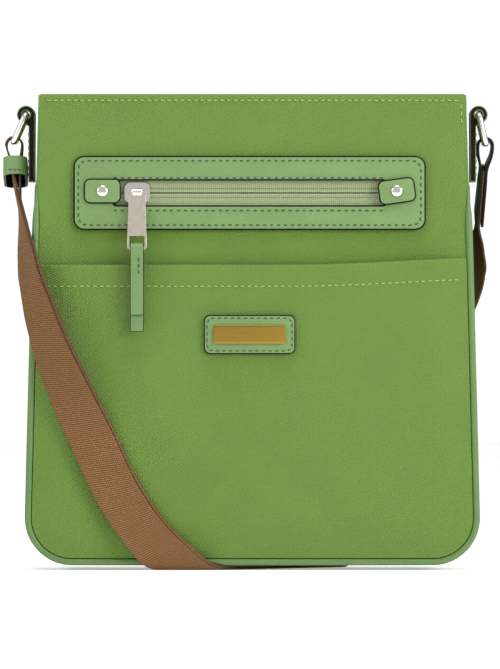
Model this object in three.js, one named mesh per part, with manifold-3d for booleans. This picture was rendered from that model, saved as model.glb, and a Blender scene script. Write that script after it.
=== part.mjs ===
// Crossbody purse: a nylon bag with leather trim, a front zip pocket in a leather frame, a front
// slip pocket, a recessed top zip, and a doubled webbing strap that is wrapped around the bag.
// Millimetres. +Z is up, the front faces -Y, and the origin is on the ground under the bag's middle.
import * as THREE from "three";
import { mergeVertices } from "three/addons/utils/BufferGeometryUtils.js";
import Module from "manifold-3d";

const wasm = await Module();
wasm.setup();

// ---- Driving dimensions ----
const GAP = 0.3; // clearance between pieces that touch on the real bag

const STRAP_WIDTH = 24;
const WEB = 1.0; // thickness of the webbing
const LAYER_GAP = 0.25; // between the two layers of the strap
const STACK = 2 * WEB + LAYER_GAP; // both layers together

const RIM_Z = 261.5; // top edge of the bag
const SEAM_HALF = 123.3; // half width of the front seam line, just above the bottom corners
const RIM_SEAM_HALF = 117.3; // and at the rim
const CORNER_R = 24; // bottom corners of the seam line
const BASE_DEPTH = 62;
const RIM_DEPTH = 50;
const SHOULDER_Z = 172; // above this the bag narrows towards the rim
const CLOTH = 1.0; // nylon with its backing
const PIPE_R = 2; // leather piping in the front and back seams
const TRIM_TOP = 211; // upper end of the piping
const GUSSET_BULGE = 1.5; // how far the gusset swells between its seams

const PLAQUE = { width: 194, height: 41, x: -1.5, z: 207.4, r: 6, thick: 1.6 };
const SLOT = { width: 150, height: 13.5 }; // the window that the front zip shows in
const RIVET = { x: 81, z: 208.4, post: 1.4, cap: 3.5 };
const END_TAB = { length: 20, height: 14, thick: 1.4 };
const SLIDER = { length: 14, width: 11.4, plate: 1.3, x: -63.4 };
const COIL = { slit: 0.8, width: 2.2, thick: 1.4 };
const TAPE = { width: 10, thick: 0.6 };
const TAG = { length: 33, top: 9, end: 11, thick: 1.8, bar: 2, lean: 14 };
const THONG = { width: 7.5, thick: 1.5, frontEnd: 140, backEnd: 131 };

const POCKET_TOP = 166.5; // mouth of the front slip pocket
const POCKET_GAP = 4.6; // room in the slip pocket
const POCKET_EASE = 22; // the pocket swells over this distance from its seams
const PATCH = { width: 50.4, height: 21.6, x: -1.5, z: 129.5, r: 3.5, thick: 1.4 };
const PLATE = { width: 39.7, height: 10.2, thick: 1.0 };

const POUCH = { width: 164, top: 222, bottom: 112, wall: 0.7, room: 6.6 };
const LINING = { wall: 0.7, top: 242 };
const BOARD = { length: 186, depth: 46, thick: 1.5, z: 5.3 };
const INNER_POCKET = { width: 130, top: 150, bottom: 40, room: 5 };

const ZIP_Z = 246; // level of the recessed top zip
const MOUTH = { half: 105, open: 10 }; // the top zip stands open as a lens
const TOP_SLIDER_X = 98;
const TOP_TAG_LENGTH = 26;

const WIRE_R = 2; // ring wire
const RING = { inside: 26, pitch: 16.5 }; // room for the webbing, and bar to bar
const RING_TAB = { off: 1.472, thick: 3.6, bottom: 213.8, loopZ: 250.9, loopR: 5, width: 24 };
const RING_TILT = { left: 24, right: 13 }; // degrees that each ring hangs away from upright

const ADJUSTER = { z: 111, width: 31, height: 17, bar: 3, angle: 24 };
const KEEPER = { x: 0.81, z: 219.5, across: 13.4, deep: 30, height: 10.5, wall: 1.5 };
// Where the strap lies on the bag: how far off it stands, its bends under the bag, its places on
// the front at STRAP_TOP and on the back, and the levels that its straight run on the back spans.
const STRAP = { off: 1.6, frontBend: 9, backBend: 4, frontX: 87.5, backX: 58.7, backStart: 28, backTop: 125 };

const rad = THREE.MathUtils.degToRad;
const lerp = THREE.MathUtils.lerp;
const V = (x, y, z) => new THREE.Vector3(x, y, z);

// ---- Materials ----
const finish = (color, roughness, metalness = 0) =>
  new THREE.MeshStandardMaterial({ color, roughness, metalness });
const nylon = finish(0x789749, 0.7);
const leather = finish(0x84a369, 0.5);
const webbing = finish(0x86613b, 0.85);
const zipTape = finish(0x8d9a74, 0.8);
const nickel = finish(0xc8beb1, 0.25, 1);
const brass = finish(0xa8863c, 0.35, 1);
const liningCloth = finish(0xb3a283, 0.85);
const board = finish(0x55524a, 0.9);

const purse = new THREE.Group();
purse.name = "purse";

function add(name, geometry, material) {
  const mesh = new THREE.Mesh(geometry, material);
  mesh.name = name;
  purse.add(mesh);
  return mesh;
}

// ---- Solids ----
function solid(points, triangles) {
  let volume = 0;
  for (const [a, b, c] of triangles) {
    volume += points[a].dot(points[b].clone().cross(points[c]));
  }
  const faces = volume < 0 ? triangles.map(([a, b, c]) => [a, c, b]) : triangles;
  const geometry = new THREE.BufferGeometry();
  geometry.setAttribute("position", new THREE.Float32BufferAttribute(points.flatMap((p) => p.toArray()), 3));
  geometry.setIndex(faces.flat());
  return geometry;
}

// The closed solid between two grids of points that have the same rows and columns.
function between(upper, lower) {
  const rows = upper.length;
  const cols = upper[0].length;
  const half = rows * cols;
  const triangles = [];
  const quad = (a, b, c, d) => triangles.push([a, b, c], [a, c, d]);
  const at = (i, j) => i * cols + j;
  for (let i = 0; i + 1 < rows; i++) {
    for (let j = 0; j + 1 < cols; j++) {
      quad(at(i, j), at(i, j + 1), at(i + 1, j + 1), at(i + 1, j));
      quad(half + at(i, j), half + at(i + 1, j), half + at(i + 1, j + 1), half + at(i, j + 1));
    }
  }
  const side = (a, b) => quad(b, a, half + a, half + b);
  for (let j = 0; j + 1 < cols; j++) {
    side(at(0, j), at(0, j + 1));
    side(at(rows - 1, j + 1), at(rows - 1, j));
  }
  for (let i = 0; i + 1 < rows; i++) {
    side(at(i + 1, 0), at(i, 0));
    side(at(i, cols - 1), at(i + 1, cols - 1));
  }
  return solid([...upper.flat(), ...lower.flat()], triangles);
}

function manifold(geometry) {
  const bare = geometry.clone();
  bare.deleteAttribute("normal");
  bare.deleteAttribute("uv");
  const merged = mergeVertices(bare, 1e-4);
  return new wasm.Manifold(
    new wasm.Mesh({
      numProp: 3,
      vertProperties: new Float32Array(merged.attributes.position.array),
      triVerts: new Uint32Array(merged.index.array),
    }),
  );
}

function geometryOf(body) {
  const mesh = body.getMesh();
  const geometry = new THREE.BufferGeometry();
  geometry.setAttribute("position", new THREE.BufferAttribute(new Float32Array(mesh.vertProperties), 3));
  geometry.setIndex(new THREE.BufferAttribute(new Uint32Array(mesh.triVerts), 1));
  return geometry;
}

const cut = (geometry, ...tools) =>
  geometryOf(tools.reduce((left, tool) => left.subtract(manifold(tool)), manifold(geometry)));
const join = (...parts) => geometryOf(parts.map(manifold).reduce((a, b) => a.add(b)));

const steps = (from, to, count) => Array.from({ length: count + 1 }, (_, i) => lerp(from, to, i / count));

function block(x, y, z) {
  const [width, depth, height] = [x, y, z].map(([low, high]) => high - low);
  return new THREE.BoxGeometry(width, depth, height)
    .translate(x[0] + width / 2, y[0] + depth / 2, z[0] + height / 2);
}

function roundedRect(width, height, r, Kind = THREE.Shape) {
  const shape = new Kind();
  const [x, y] = [width / 2 - r, height / 2 - r];
  shape.moveTo(x, -y - r);
  shape.absarc(x, -y, r, -Math.PI / 2, 0);
  shape.absarc(x, y, r, 0, Math.PI / 2);
  shape.absarc(-x, y, r, Math.PI / 2, Math.PI);
  shape.absarc(-x, -y, r, Math.PI, 1.5 * Math.PI);
  shape.closePath();
  return shape;
}

const disc = (r, Kind = THREE.Shape) => new Kind().absarc(0, 0, r, 0, 2 * Math.PI);

const extrude = (shape, depth, curveSegments = 5) =>
  new THREE.ExtrudeGeometry(shape, { depth, bevelEnabled: false, curveSegments });

// ---- The bag's form ----
const SEAM_BASE = STACK + LAYER_GAP + PIPE_R; // lowest level of the seam line
const CORNER_Z = SEAM_BASE + CORNER_R;
const CORNER_X = SEAM_HALF - CORNER_R;
const SIDE_TAPER = (SEAM_HALF - RIM_SEAM_HALF) / (RIM_Z - CORNER_Z);

// Half the bag's depth at a height.
function halfDepth(z) {
  const rise = Math.max(0, (z - SHOULDER_Z) / (RIM_Z - SHOULDER_Z));
  return lerp(BASE_DEPTH, RIM_DEPTH, rise) / 2;
}

// Half the width at a height of the seam line, moved outwards by grow.
function seamHalf(z, grow = 0) {
  if (z >= CORNER_Z) return SEAM_HALF + grow - SIDE_TAPER * (z - CORNER_Z);
  return CORNER_X + Math.sqrt(Math.max(0, (CORNER_R + grow) ** 2 - (CORNER_Z - z) ** 2));
}

// A point on the front (side 1) or back (side -1), lifted off the face by n.
const facePoint = (x, z, n, side = 1) => V(side * x, -side * (halfDepth(z) + n), z);

// Lays a shape drawn flat, in X and Z with its thickness along n, on the front or back.
function onFace(geometry, side = 1) {
  const position = geometry.attributes.position;
  for (let i = 0; i < position.count; i++) {
    const p = facePoint(position.getX(i), position.getY(i), position.getZ(i), side);
    position.setXYZ(i, p.x, p.y, p.z);
  }
  return geometry;
}

const flat = (shape, thick, { x = 0, z = 0, n = GAP, turn = 0 } = {}) =>
  onFace(extrude(shape, thick).rotateZ(turn).translate(x, z, n));

// Levels of a face whose outline is the seam line moved by grow.
function levels(grow, top) {
  const corner = steps(0, 90, 6).map((a) => CORNER_Z - (CORNER_R + grow) * Math.cos(rad(a)));
  const marks = [80, 126, SHOULDER_Z, TRIM_TOP + GAP, TRIM_TOP + 4, RIM_Z];
  return [...corner, ...marks.filter((z) => z < top - 1), top];
}

const ACROSS = [-1, -0.92, -0.82, -0.5, 0, 0.5, 0.82, 0.92, 1];

function faceGrid(zs, grow, n, side = 1) {
  return zs.map((z) => ACROSS.map((u) => {
    const x = u * seamHalf(z, grow(z));
    return facePoint(x, z, n(x, z), side);
  }));
}

// Front and back panels stop short of the piping, and of the gusset above it.
const besidePiping = (z) => z <= TRIM_TOP + GAP;
const panelInset = (z) => -(besidePiping(z) ? PIPE_R + GAP : CLOTH / 2 + GAP);

function panel(side) {
  const zs = levels(panelInset(0), RIM_Z);
  return between(faceGrid(zs, panelInset, () => 0, side), faceGrid(zs, panelInset, () => -CLOTH, side));
}

const slotTool = extrude(roundedRect(SLOT.width, SLOT.height, 1), 12).translate(PLAQUE.x, RIVET.z - 1, -5);
const rivetHoles = [-1, 1].map((s) =>
  extrude(disc(RIVET.post + GAP), 12, 4).translate(PLAQUE.x + s * RIVET.x, RIVET.z, -5));
const zipTools = () => [slotTool, ...rivetHoles].map((tool) => onFace(tool.clone()));

add("front_panel", cut(panel(1), ...zipTools()), nylon);
add("back_panel", panel(-1), nylon);

// The U of the gusset and of the piping, as points for any offset from the seam line.
const sideLevels = [RIM_Z, TRIM_TOP + 4, TRIM_TOP + GAP, SHOULDER_Z, 126, 80];
const cornerTurn = steps(90, 0, 6);
const uStations = [
  ...sideLevels.map((z) => (g) => [-seamHalf(z, g), z]),
  ...cornerTurn.map((a) => (g) => [
    -CORNER_X - (CORNER_R + g) * Math.sin(rad(a)), CORNER_Z - (CORNER_R + g) * Math.cos(rad(a))]),
  ...steps(-CORNER_X, CORNER_X, 4).slice(1, -1).map((x) => (g) => [x, CORNER_Z - CORNER_R - g]),
  ...[...cornerTurn].reverse().map((a) => (g) => [
    CORNER_X + (CORNER_R + g) * Math.sin(rad(a)), CORNER_Z - (CORNER_R + g) * Math.cos(rad(a))]),
  ...[...sideLevels].reverse().map((z) => (g) => [seamHalf(z, g), z]),
];

const PIPE_N = -0.5; // the piping's centre lies a little behind the face
const gussetEdge = (z) => (besidePiping(z) ? PIPE_R + GAP - PIPE_N : 0);
const swell = (z) => (besidePiping(z) ? GUSSET_BULGE : 0.2);

function gussetGrid(offset) {
  return uStations.map((station) => [-1, -0.5, 0, 0.5, 1].map((v) => {
    const z = station(0)[1];
    const [x, level] = station(CLOTH / 2 + swell(z) * (1 - v * v) + offset);
    return V(x, v * (halfDepth(z) - gussetEdge(z)), level);
  }));
}
add("gusset", between(gussetGrid(0), gussetGrid(-CLOTH)), nylon);

function piping(side) {
  const points = uStations.map((station) => station(0)).filter(([, z]) => z < TRIM_TOP);
  const [left, right] = [-1, 1].map((s) => [s * seamHalf(TRIM_TOP), TRIM_TOP]);
  const path = new THREE.CatmullRomCurve3(
    [left, ...points, right].map(([x, z]) => facePoint(x, z, PIPE_N, side)), false, "centripetal");
  return new THREE.ExtrudeGeometry(disc(PIPE_R), { steps: 110, extrudePath: path, curveSegments: 4 });
}
add("piping_front", piping(1), leather);
add("piping_back", piping(-1), leather);

// ---- Front slip pocket ----
// 0 at the pocket's side and bottom seams, 1 where it has swelled out fully.
function pocketSwell(x, z) {
  const fromSide = seamHalf(z, panelInset(z)) - Math.abs(x);
  const fromBase = z - (SEAM_BASE - panelInset(0));
  const rise = (d) => Math.sin((Math.PI / 2) * Math.min(1, Math.max(0, d / POCKET_EASE)));
  return rise(fromSide) * rise(fromBase);
}
const pocketLevels = [...levels(panelInset(0), 126).filter((z) => z < 50), 80, 126, POCKET_TOP];
const pocketInner = (x, z) => lerp(GAP, POCKET_GAP, pocketSwell(x, z));
add("front_pocket_panel", between(
  faceGrid(pocketLevels, panelInset, (x, z) => pocketInner(x, z) + CLOTH),
  faceGrid(pocketLevels, panelInset, pocketInner)), nylon);

const POCKET_FACE = POCKET_GAP + CLOTH;
add("name_patch", flat(roundedRect(PATCH.width, PATCH.height, PATCH.r), PATCH.thick, {
  x: PATCH.x, z: PATCH.z, n: POCKET_FACE + GAP }), leather);
add("name_plate", flat(roundedRect(PLATE.width, PLATE.height, 0.8), PLATE.thick, {
  x: PATCH.x, z: PATCH.z, n: POCKET_FACE + PATCH.thick + 2 * GAP }), brass);

// ---- Front zip ----
const plaqueShape = roundedRect(PLAQUE.width, PLAQUE.height, PLAQUE.r);
add("front_zip_plaque", cut(
  flat(plaqueShape, PLAQUE.thick, { x: PLAQUE.x, z: PLAQUE.z }), ...zipTools()), leather);

const PLAQUE_FACE = GAP + PLAQUE.thick;
for (const [name, s] of [["left", -1], ["right", 1]]) {
  const x = PLAQUE.x + s * RIVET.x;
  const shape = roundedRect(END_TAB.length, END_TAB.height, 3.5);
  shape.holes.push(disc(RIVET.post + GAP, THREE.Path));
  add(`zip_end_tab_${name}`, flat(shape, END_TAB.thick, {
    x, z: RIVET.z, n: PLAQUE_FACE + GAP }), leather);
  const capBase = PLAQUE_FACE + END_TAB.thick + 2 * GAP;
  const back = -CLOTH - GAP;
  const profile = [
    [0, back - 0.6], [2.4, back - 0.6], [2.4, back], [RIVET.post, back], [RIVET.post, capBase],
    [RIVET.cap, capBase], [RIVET.cap * 0.85, capBase + 0.8], [RIVET.cap * 0.45, capBase + 1.2], [0, capBase + 1.3],
  ].map(([r, n]) => new THREE.Vector2(r, n));
  const rivet = new THREE.LatheGeometry(profile, 16).rotateX(Math.PI / 2).translate(x, RIVET.z, 0);
  add(`rivet_${name}`, onFace(rivet), nickel);
}

// Tapes behind the panel, with the coils on their back and a slit between them for the slider.
const ZIP_MID = RIVET.z - 1;
const tapeN = -CLOTH - GAP - TAPE.thick;
const coilN = tapeN - GAP - COIL.thick;
const ZIP_HALF = SLOT.width / 2 - 1;
for (const [name, s] of [["upper", 1], ["lower", -1]]) {
  const strip = (low, high, n, thick) => {
    const shape = new THREE.Shape([
      new THREE.Vector2(-ZIP_HALF, s * low), new THREE.Vector2(ZIP_HALF, s * low),
      new THREE.Vector2(ZIP_HALF, s * high), new THREE.Vector2(-ZIP_HALF, s * high)]);
    return flat(shape, thick, { x: PLAQUE.x, z: ZIP_MID, n });
  };
  add(`front_zip_tape_${name}`, strip(COIL.slit, TAPE.width, tapeN, TAPE.thick), zipTape);
  add(`front_zip_coil_${name}`, strip(COIL.slit, COIL.slit + COIL.width, coilN, COIL.thick), zipTape);
}

// A slider at the origin: travel along X, width along Y, outwards along Z. Its upper plate stands
// on z = 0, and its lower plate's face is depth below that. The pull tag turns on the crown's bar.
const CROWN = { bar: 1.0, height: 3.8, inside: 5.8, leg: 1.6 };
const CROWN_AXIS = SLIDER.plate + CROWN.height - CROWN.bar;
const rod = (r, length) => new THREE.CylinderGeometry(r, r, length, 12).rotateZ(Math.PI / 2);

function slider(depth, crownAcross) {
  const plate = roundedRect(SLIDER.length, SLIDER.width, 3.5);
  const upper = extrude(plate, SLIDER.plate);
  const lower = extrude(plate, SLIDER.plate).translate(0, 0, -depth - SLIDER.plate);
  const post = block([-5, -2], [-0.5, 0.5], [-depth - 0.2, 0.2]);
  const legX = (CROWN.inside + CROWN.leg) / 2;
  const legs = [-1, 1].map((s) => block(
    [s * legX - CROWN.leg / 2, s * legX + CROWN.leg / 2], [-1.2, 1.2],
    [SLIDER.plate - 0.2, SLIDER.plate + CROWN.height]));
  const bar = rod(CROWN.bar, 2 * legX).translate(0, 0, CROWN_AXIS);
  const crown = join(...legs, bar).rotateZ(crownAcross ? Math.PI / 2 : 0);
  return join(upper, lower, post, crown);
}

// A pull tag along -Y, with the eye that turns on the crown at the origin and a window at its end.
function tag(length, window) {
  const [top, end] = [TAG.top / 2, TAG.end / 2];
  const outline = [
    [-top, -1.7], [-end, 1.5 - length], [1.5 - end, -length], [end - 1.5, -length],
    [end, 1.5 - length], [top, -1.7],
  ].map(([x, y]) => new THREE.Vector2(x, y));
  const plate = extrude(new THREE.Shape(outline), TAG.thick).translate(0, 0, -TAG.thick / 2);
  const body = join(plate, rod(CROWN.bar + 1.2, CROWN.inside - 2 * GAP));
  const bore = rod(CROWN.bar + GAP, 2 * CROWN.inside);
  const opening = block([-window / 2, window / 2], [TAG.bar - length, TAG.bar + 6 - length], [-5, 5]);
  return window ? cut(body, bore, opening) : cut(body, bore);
}

const frontDepth = COIL.thick + TAPE.thick + 3 * GAP;
const frontLean = Math.atan((BASE_DEPTH - RIM_DEPTH) / 2 / (RIM_Z - SHOULDER_Z));
const sliderPlace = facePoint(SLIDER.x, ZIP_MID, tapeN + TAPE.thick + GAP);
add("front_zip_slider", slider(frontDepth, false)
  .rotateX(Math.PI / 2 - frontLean).translate(...sliderPlace), nickel);

const outOfFace = V(0, -Math.cos(frontLean), Math.sin(frontLean));
const tagAxis = sliderPlace.clone().addScaledVector(outOfFace, CROWN_AXIS);
add("front_pull_tag", tag(TAG.length, 8.4)
  .rotateX(Math.PI / 2 - rad(TAG.lean)).translate(...tagAxis), nickel);

// ---- Ribbons: straps, tabs and thongs that follow a path ----
// points: the middle of the ribbon. acrossAt(p, u): the way its width lies at the point p and at u,
// from 0 to 1 along it. lead: how many points at the end only give its direction there.
function ribbon(points, acrossAt, { width, thick, offset = 0, each = 3, lead = 0 }) {
  const path = new THREE.CatmullRomCurve3(points, false, "centripetal");
  const spans = points.length - 1;
  const rows = (lift) => steps(0, 1 - lead / spans, each * (spans - lead)).map((u) => {
    const [point, along] = [path.getPoint(u), path.getTangent(u)];
    const across = acrossAt(point, u);
    across.addScaledVector(along, -across.dot(along)).normalize();
    const out = along.clone().cross(across);
    const middle = point.addScaledVector(out, offset + lift);
    return [-0.5, 0, 0.5].map((w) => middle.clone().addScaledVector(across, w * width));
  });
  return between(rows(thick / 2), rows(-thick / 2));
}

// The thong goes through the tag's window and hangs just clear of the name plate, which it passes.
const tagEnd = tagAxis.clone().add(V(0, -Math.sin(rad(TAG.lean)), -Math.cos(rad(TAG.lean)))
  .multiplyScalar(TAG.length - TAG.bar / 2));
const PLATE_FACE = POCKET_FACE + PATCH.thick + PLATE.thick + 2 * GAP;
const backTail = -(halfDepth(POCKET_TOP) + PLATE_FACE + GAP + THONG.thick / 2);
const frontTail = backTail - THONG.thick - GAP;
const turnR = 1.6 + THONG.thick / 2;
const thongPath = [
  [backTail, THONG.backEnd], [backTail, POCKET_TOP - 8], [backTail, POCKET_TOP + 2],
  ...steps(-30, 210, 8).map((a) => [
    tagEnd.y + turnR * Math.cos(rad(a)), tagEnd.z + turnR * Math.sin(rad(a))]),
  [frontTail, POCKET_TOP + 2], [frontTail, POCKET_TOP - 8], [frontTail, THONG.frontEnd],
].map(([y, z]) => V(SLIDER.x, y, z));
add("front_pull_thong", ribbon(thongPath, () => V(1, 0, 0), THONG), leather);

// ---- Inside ----
const pouchFront = tapeN - GAP;
const pouchBack = pouchFront - 2 * POUCH.wall - POUCH.room;
// The pouch's box, or its room when inset by the wall; its rows let it bend where the face does.
function pouchBox(inset) {
  const [height, depth] = [POUCH.top - POUCH.bottom, pouchFront - pouchBack];
  const box = new THREE.BoxGeometry(POUCH.width - 2 * inset, height - 2 * inset, depth - 2 * inset, 1, 11, 1);
  return onFace(box.translate(PLAQUE.x, POUCH.bottom + height / 2, (pouchFront + pouchBack) / 2));
}
const pouchMouth = block([PLAQUE.x - ZIP_HALF - GAP, PLAQUE.x + ZIP_HALF + GAP],
  [ZIP_MID - TAPE.width + 3, ZIP_MID + TAPE.width - 3], [pouchFront - 2, pouchFront + 2]);
add("front_zip_pouch", cut(pouchBox(0), pouchBox(POUCH.wall), onFace(pouchMouth)), liningCloth);

// The room inside the seam line moved by grow, from the front face to the back one moved by n.
function roomInside(grow, frontN, backN, top) {
  const grid = (y) => levels(grow, top).map((z) => ACROSS.map((u) => V(u * seamHalf(z, grow), y(z), z)));
  return between(grid((z) => -halfDepth(z) - frontN), grid((z) => halfDepth(z) + backN));
}
const liningGrow = SEAM_BASE - BOARD.z - BOARD.thick - GAP;
const liningFront = pouchBack - GAP;
const liningBack = -CLOTH - GAP;
add("lining", cut(
  roomInside(liningGrow, liningFront, liningBack, LINING.top),
  roomInside(liningGrow - LINING.wall, liningFront - LINING.wall, liningBack - LINING.wall, LINING.top + 5),
), liningCloth);
add("base_board", block([-BOARD.length / 2, BOARD.length / 2], [-BOARD.depth / 2, BOARD.depth / 2],
  [BOARD.z, BOARD.z + BOARD.thick]), board);

const innerWall = halfDepth(INNER_POCKET.top) + liningBack - LINING.wall;
function innerPocketGrid(lift) {
  return [0, 0.05, 0.12, 0.5, 1].map((v) => [-1, -0.9, -0.78, 0, 0.78, 0.9, 1].map((u) => {
    const ease = Math.min(1, (1 - Math.abs(u)) / 0.22, v / 0.12);
    const y = innerWall - GAP - INNER_POCKET.room * Math.sin((Math.PI / 2) * ease);
    return V(u * INNER_POCKET.width / 2, y - lift, lerp(INNER_POCKET.bottom, INNER_POCKET.top, v));
  }));
}
add("inner_pocket", between(innerPocketGrid(0), innerPocketGrid(LINING.wall)), liningCloth);

// ---- Top zip: facings from the rim, tapes and coils, which stand open as a lens ----
const mouthEdge = (x) => 1.3 + MOUTH.open * Math.max(0, 1 - (x / MOUTH.half) ** 2);
const COIL_Z = ZIP_Z + TAPE.thick + GAP;
const topX = (half) => steps(-half, half, 14);
for (const [name, s] of [["front", -1], ["back", 1]]) {
  const facing = (lift) => topX(MOUTH.half + 9).map((x) => steps(0, 1, 2).map((v) => {
    const rim = halfDepth(RIM_Z) - CLOTH - GAP - CLOTH / 2;
    const [y, z] = [lerp(mouthEdge(x) + 7, rim, v), lerp(COIL_Z + CLOTH / 2, RIM_Z - 3, v)];
    const slope = Math.atan2(RIM_Z - 3 - COIL_Z, rim - mouthEdge(x) - 7);
    return V(x, s * (y - lift * Math.sin(slope)), z + lift * Math.cos(slope));
  }));
  add(`top_facing_${name}`, between(facing(CLOTH / 2), facing(-CLOTH / 2)), nylon);
  const strip = (half, low, high, z) => topX(half).map((x) =>
    [V(x, s * (mouthEdge(x) + low), z), V(x, s * (mouthEdge(x) + high), z)]);
  const tapeHalf = MOUTH.half + 6;
  add(`top_zip_tape_${name}`, between(
    strip(tapeHalf, GAP, TAPE.width, ZIP_Z + TAPE.thick), strip(tapeHalf, GAP, TAPE.width, ZIP_Z)), zipTape);
  add(`top_zip_coil_${name}`, between(
    strip(MOUTH.half, 0, COIL.width, COIL_Z + COIL.thick), strip(MOUTH.half, 0, COIL.width, COIL_Z)), zipTape);
}
const topSliderPlace = V(-TOP_SLIDER_X, 0, COIL_Z + COIL.thick + GAP);
const topDepth = COIL.thick + TAPE.thick + 3 * GAP;
add("top_zip_slider", slider(topDepth, true).translate(...topSliderPlace), nickel);
add("top_pull_tag", tag(TOP_TAG_LENGTH, 0).rotateZ(Math.PI / 2)
  .translate(...topSliderPlace.clone().add(V(0, 0, CROWN_AXIS))), nickel);

// ---- Ring tabs and rings ----
const ringTabX = Math.max(seamHalf(RING_TAB.bottom), seamHalf(RIM_Z)) + RING_TAB.off;
const loopX = ringTabX + RING_TAB.loopR;
const boreR = WIRE_R + GAP;

function ringTab() {
  const { thick, bottom, loopZ, loopR } = RING_TAB;
  const x = ringTabX;
  const dx = x + thick - loopX;
  const shape = new THREE.Shape();
  shape.moveTo(x, bottom);
  shape.lineTo(x, loopZ);
  shape.absarc(loopX, loopZ, loopR, Math.PI, -Math.acos(dx / loopR), true);
  shape.lineTo(x + thick, bottom);
  shape.holes.push(new THREE.Path().absarc(loopX, loopZ, boreR, 0, 2 * Math.PI));
  return extrude(shape, RING_TAB.width, 14).translate(0, 0, -RING_TAB.width / 2).rotateX(Math.PI / 2);
}

// A closed wire loop round a rounded rectangle in the YZ plane, hanging from its upper bar at the origin.
function wireRing() {
  const halfY = RING.inside / 2 + WIRE_R;
  const bend = WIRE_R + 0.8;
  const corners = [[1, 0, 0], [1, 1, 90], [-1, 1, 180], [-1, 0, 270]];
  const path = corners.flatMap(([side, lower, start]) => steps(90, 0, 4).map((a) => {
    const turn = rad(a - start);
    const centre = [side * (halfY - bend), lower ? -RING.pitch + bend : -bend];
    return [centre, [Math.cos(turn), Math.sin(turn)]];
  }));
  const sides = 8;
  const points = path.flatMap(([[cy, cz], [dy, dz]]) => steps(0, 2 * Math.PI, sides).slice(0, sides).map((a) =>
    V(WIRE_R * Math.sin(a), cy + dy * (bend + WIRE_R * Math.cos(a)), cz + dz * (bend + WIRE_R * Math.cos(a)))));
  const triangles = path.flatMap((_, i) => Array.from({ length: sides }, (__, j) => {
    const [a, b] = [i * sides + j, i * sides + ((j + 1) % sides)];
    const next = ((i + 1) % path.length) * sides;
    const [c, d] = [next + ((j + 1) % sides), next + j];
    return [[a, b, c], [a, c, d]];
  })).flat();
  return solid(points, triangles);
}

const barAt = (side, tilt) => V(
  side * (loopX + RING.pitch * Math.sin(rad(tilt))), 0, RING_TAB.loopZ - RING.pitch * Math.cos(rad(tilt)));
const leftBar = barAt(-1, RING_TILT.left);
const rightBar = barAt(1, RING_TILT.right);
for (const [name, side] of [["left", -1], ["right", 1]]) {
  const tab = ringTab();
  add(`ring_tab_${name}`, side < 0 ? tab.rotateZ(Math.PI) : tab, leather);
  add(`ring_${name}`, wireRing().rotateY(-side * rad(RING_TILT[name]))
    .translate(side * loopX, 0, RING_TAB.loopZ), nickel);
}

// ---- Strap ----
// Where it lies on the bag it is laid out flat in x and t, the distance along the section down the
// front, under the bag and up the back. foldPoint puts that on the section, moved out by offset.
const STRAP_TOP = 70; // the strap lies flat on the front below this
const FRONT_Y = -(BASE_DEPTH / 2 + POCKET_FACE + STRAP.off + STACK / 2);
const BACK_Y = BASE_DEPTH / 2 + PIPE_R + PIPE_N + STRAP.off / 2 + STACK / 2;
const FLOOR_Z = STACK / 2; // middle of the two layers under the bag
const FRONT_DOWN = STRAP_TOP - STRAP.frontBend - FLOOR_Z;
const FRONT_TURN = STRAP.frontBend * Math.PI / 2;
const UNDER = BACK_Y - STRAP.backBend - (FRONT_Y + STRAP.frontBend);
const BACK_TURN = STRAP.backBend * Math.PI / 2;
const T_UNDER = FRONT_DOWN + FRONT_TURN;
const T_BACK = T_UNDER + UNDER;
const T_UP = T_BACK + BACK_TURN;

function foldPoint(x, t, offset) {
  if (t < FRONT_DOWN) return V(x, FRONT_Y - offset, STRAP_TOP - t);
  if (t < T_UNDER) {
    const [a, r] = [(t - FRONT_DOWN) / STRAP.frontBend, STRAP.frontBend + offset];
    return V(x, FRONT_Y + STRAP.frontBend - r * Math.cos(a), FLOOR_Z + STRAP.frontBend - r * Math.sin(a));
  }
  if (t < T_BACK) return V(x, FRONT_Y + STRAP.frontBend + (t - T_UNDER), FLOOR_Z - offset);
  if (t < T_UP) {
    const [a, r] = [(t - T_BACK) / STRAP.backBend, STRAP.backBend + offset];
    return V(x, BACK_Y - STRAP.backBend + r * Math.sin(a), FLOOR_Z + STRAP.backBend - r * Math.cos(a));
  }
  return V(x, BACK_Y + offset, FLOOR_Z + STRAP.backBend + (t - T_UP));
}
const backT = (z) => T_UP + z - FLOOR_Z - STRAP.backBend;

const tMiddle = T_UNDER - FRONT_Y - STRAP.frontBend;
const backSlope = Math.tan(rad(ADJUSTER.angle));
const backX = (z) => STRAP.backX + (z - STRAP.backStart) * backSlope;
const layout = new THREE.CatmullRomCurve3([
  [-STRAP.frontX - 8.5, -18], [-STRAP.frontX, 0], [-73, STRAP_TOP - 40], [-56, STRAP_TOP - 16],
  [-28, tMiddle - 25], [0, tMiddle], [25, tMiddle + 23], [41, T_UP], ...[0, 0.3, 0.65, 1].map((v) => {
    const z = lerp(STRAP.backStart, STRAP.backTop, v);
    return [backX(z), backT(z)];
  }),
].map(([x, t]) => V(x, t, 0)), false, "centripetal");

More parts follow.
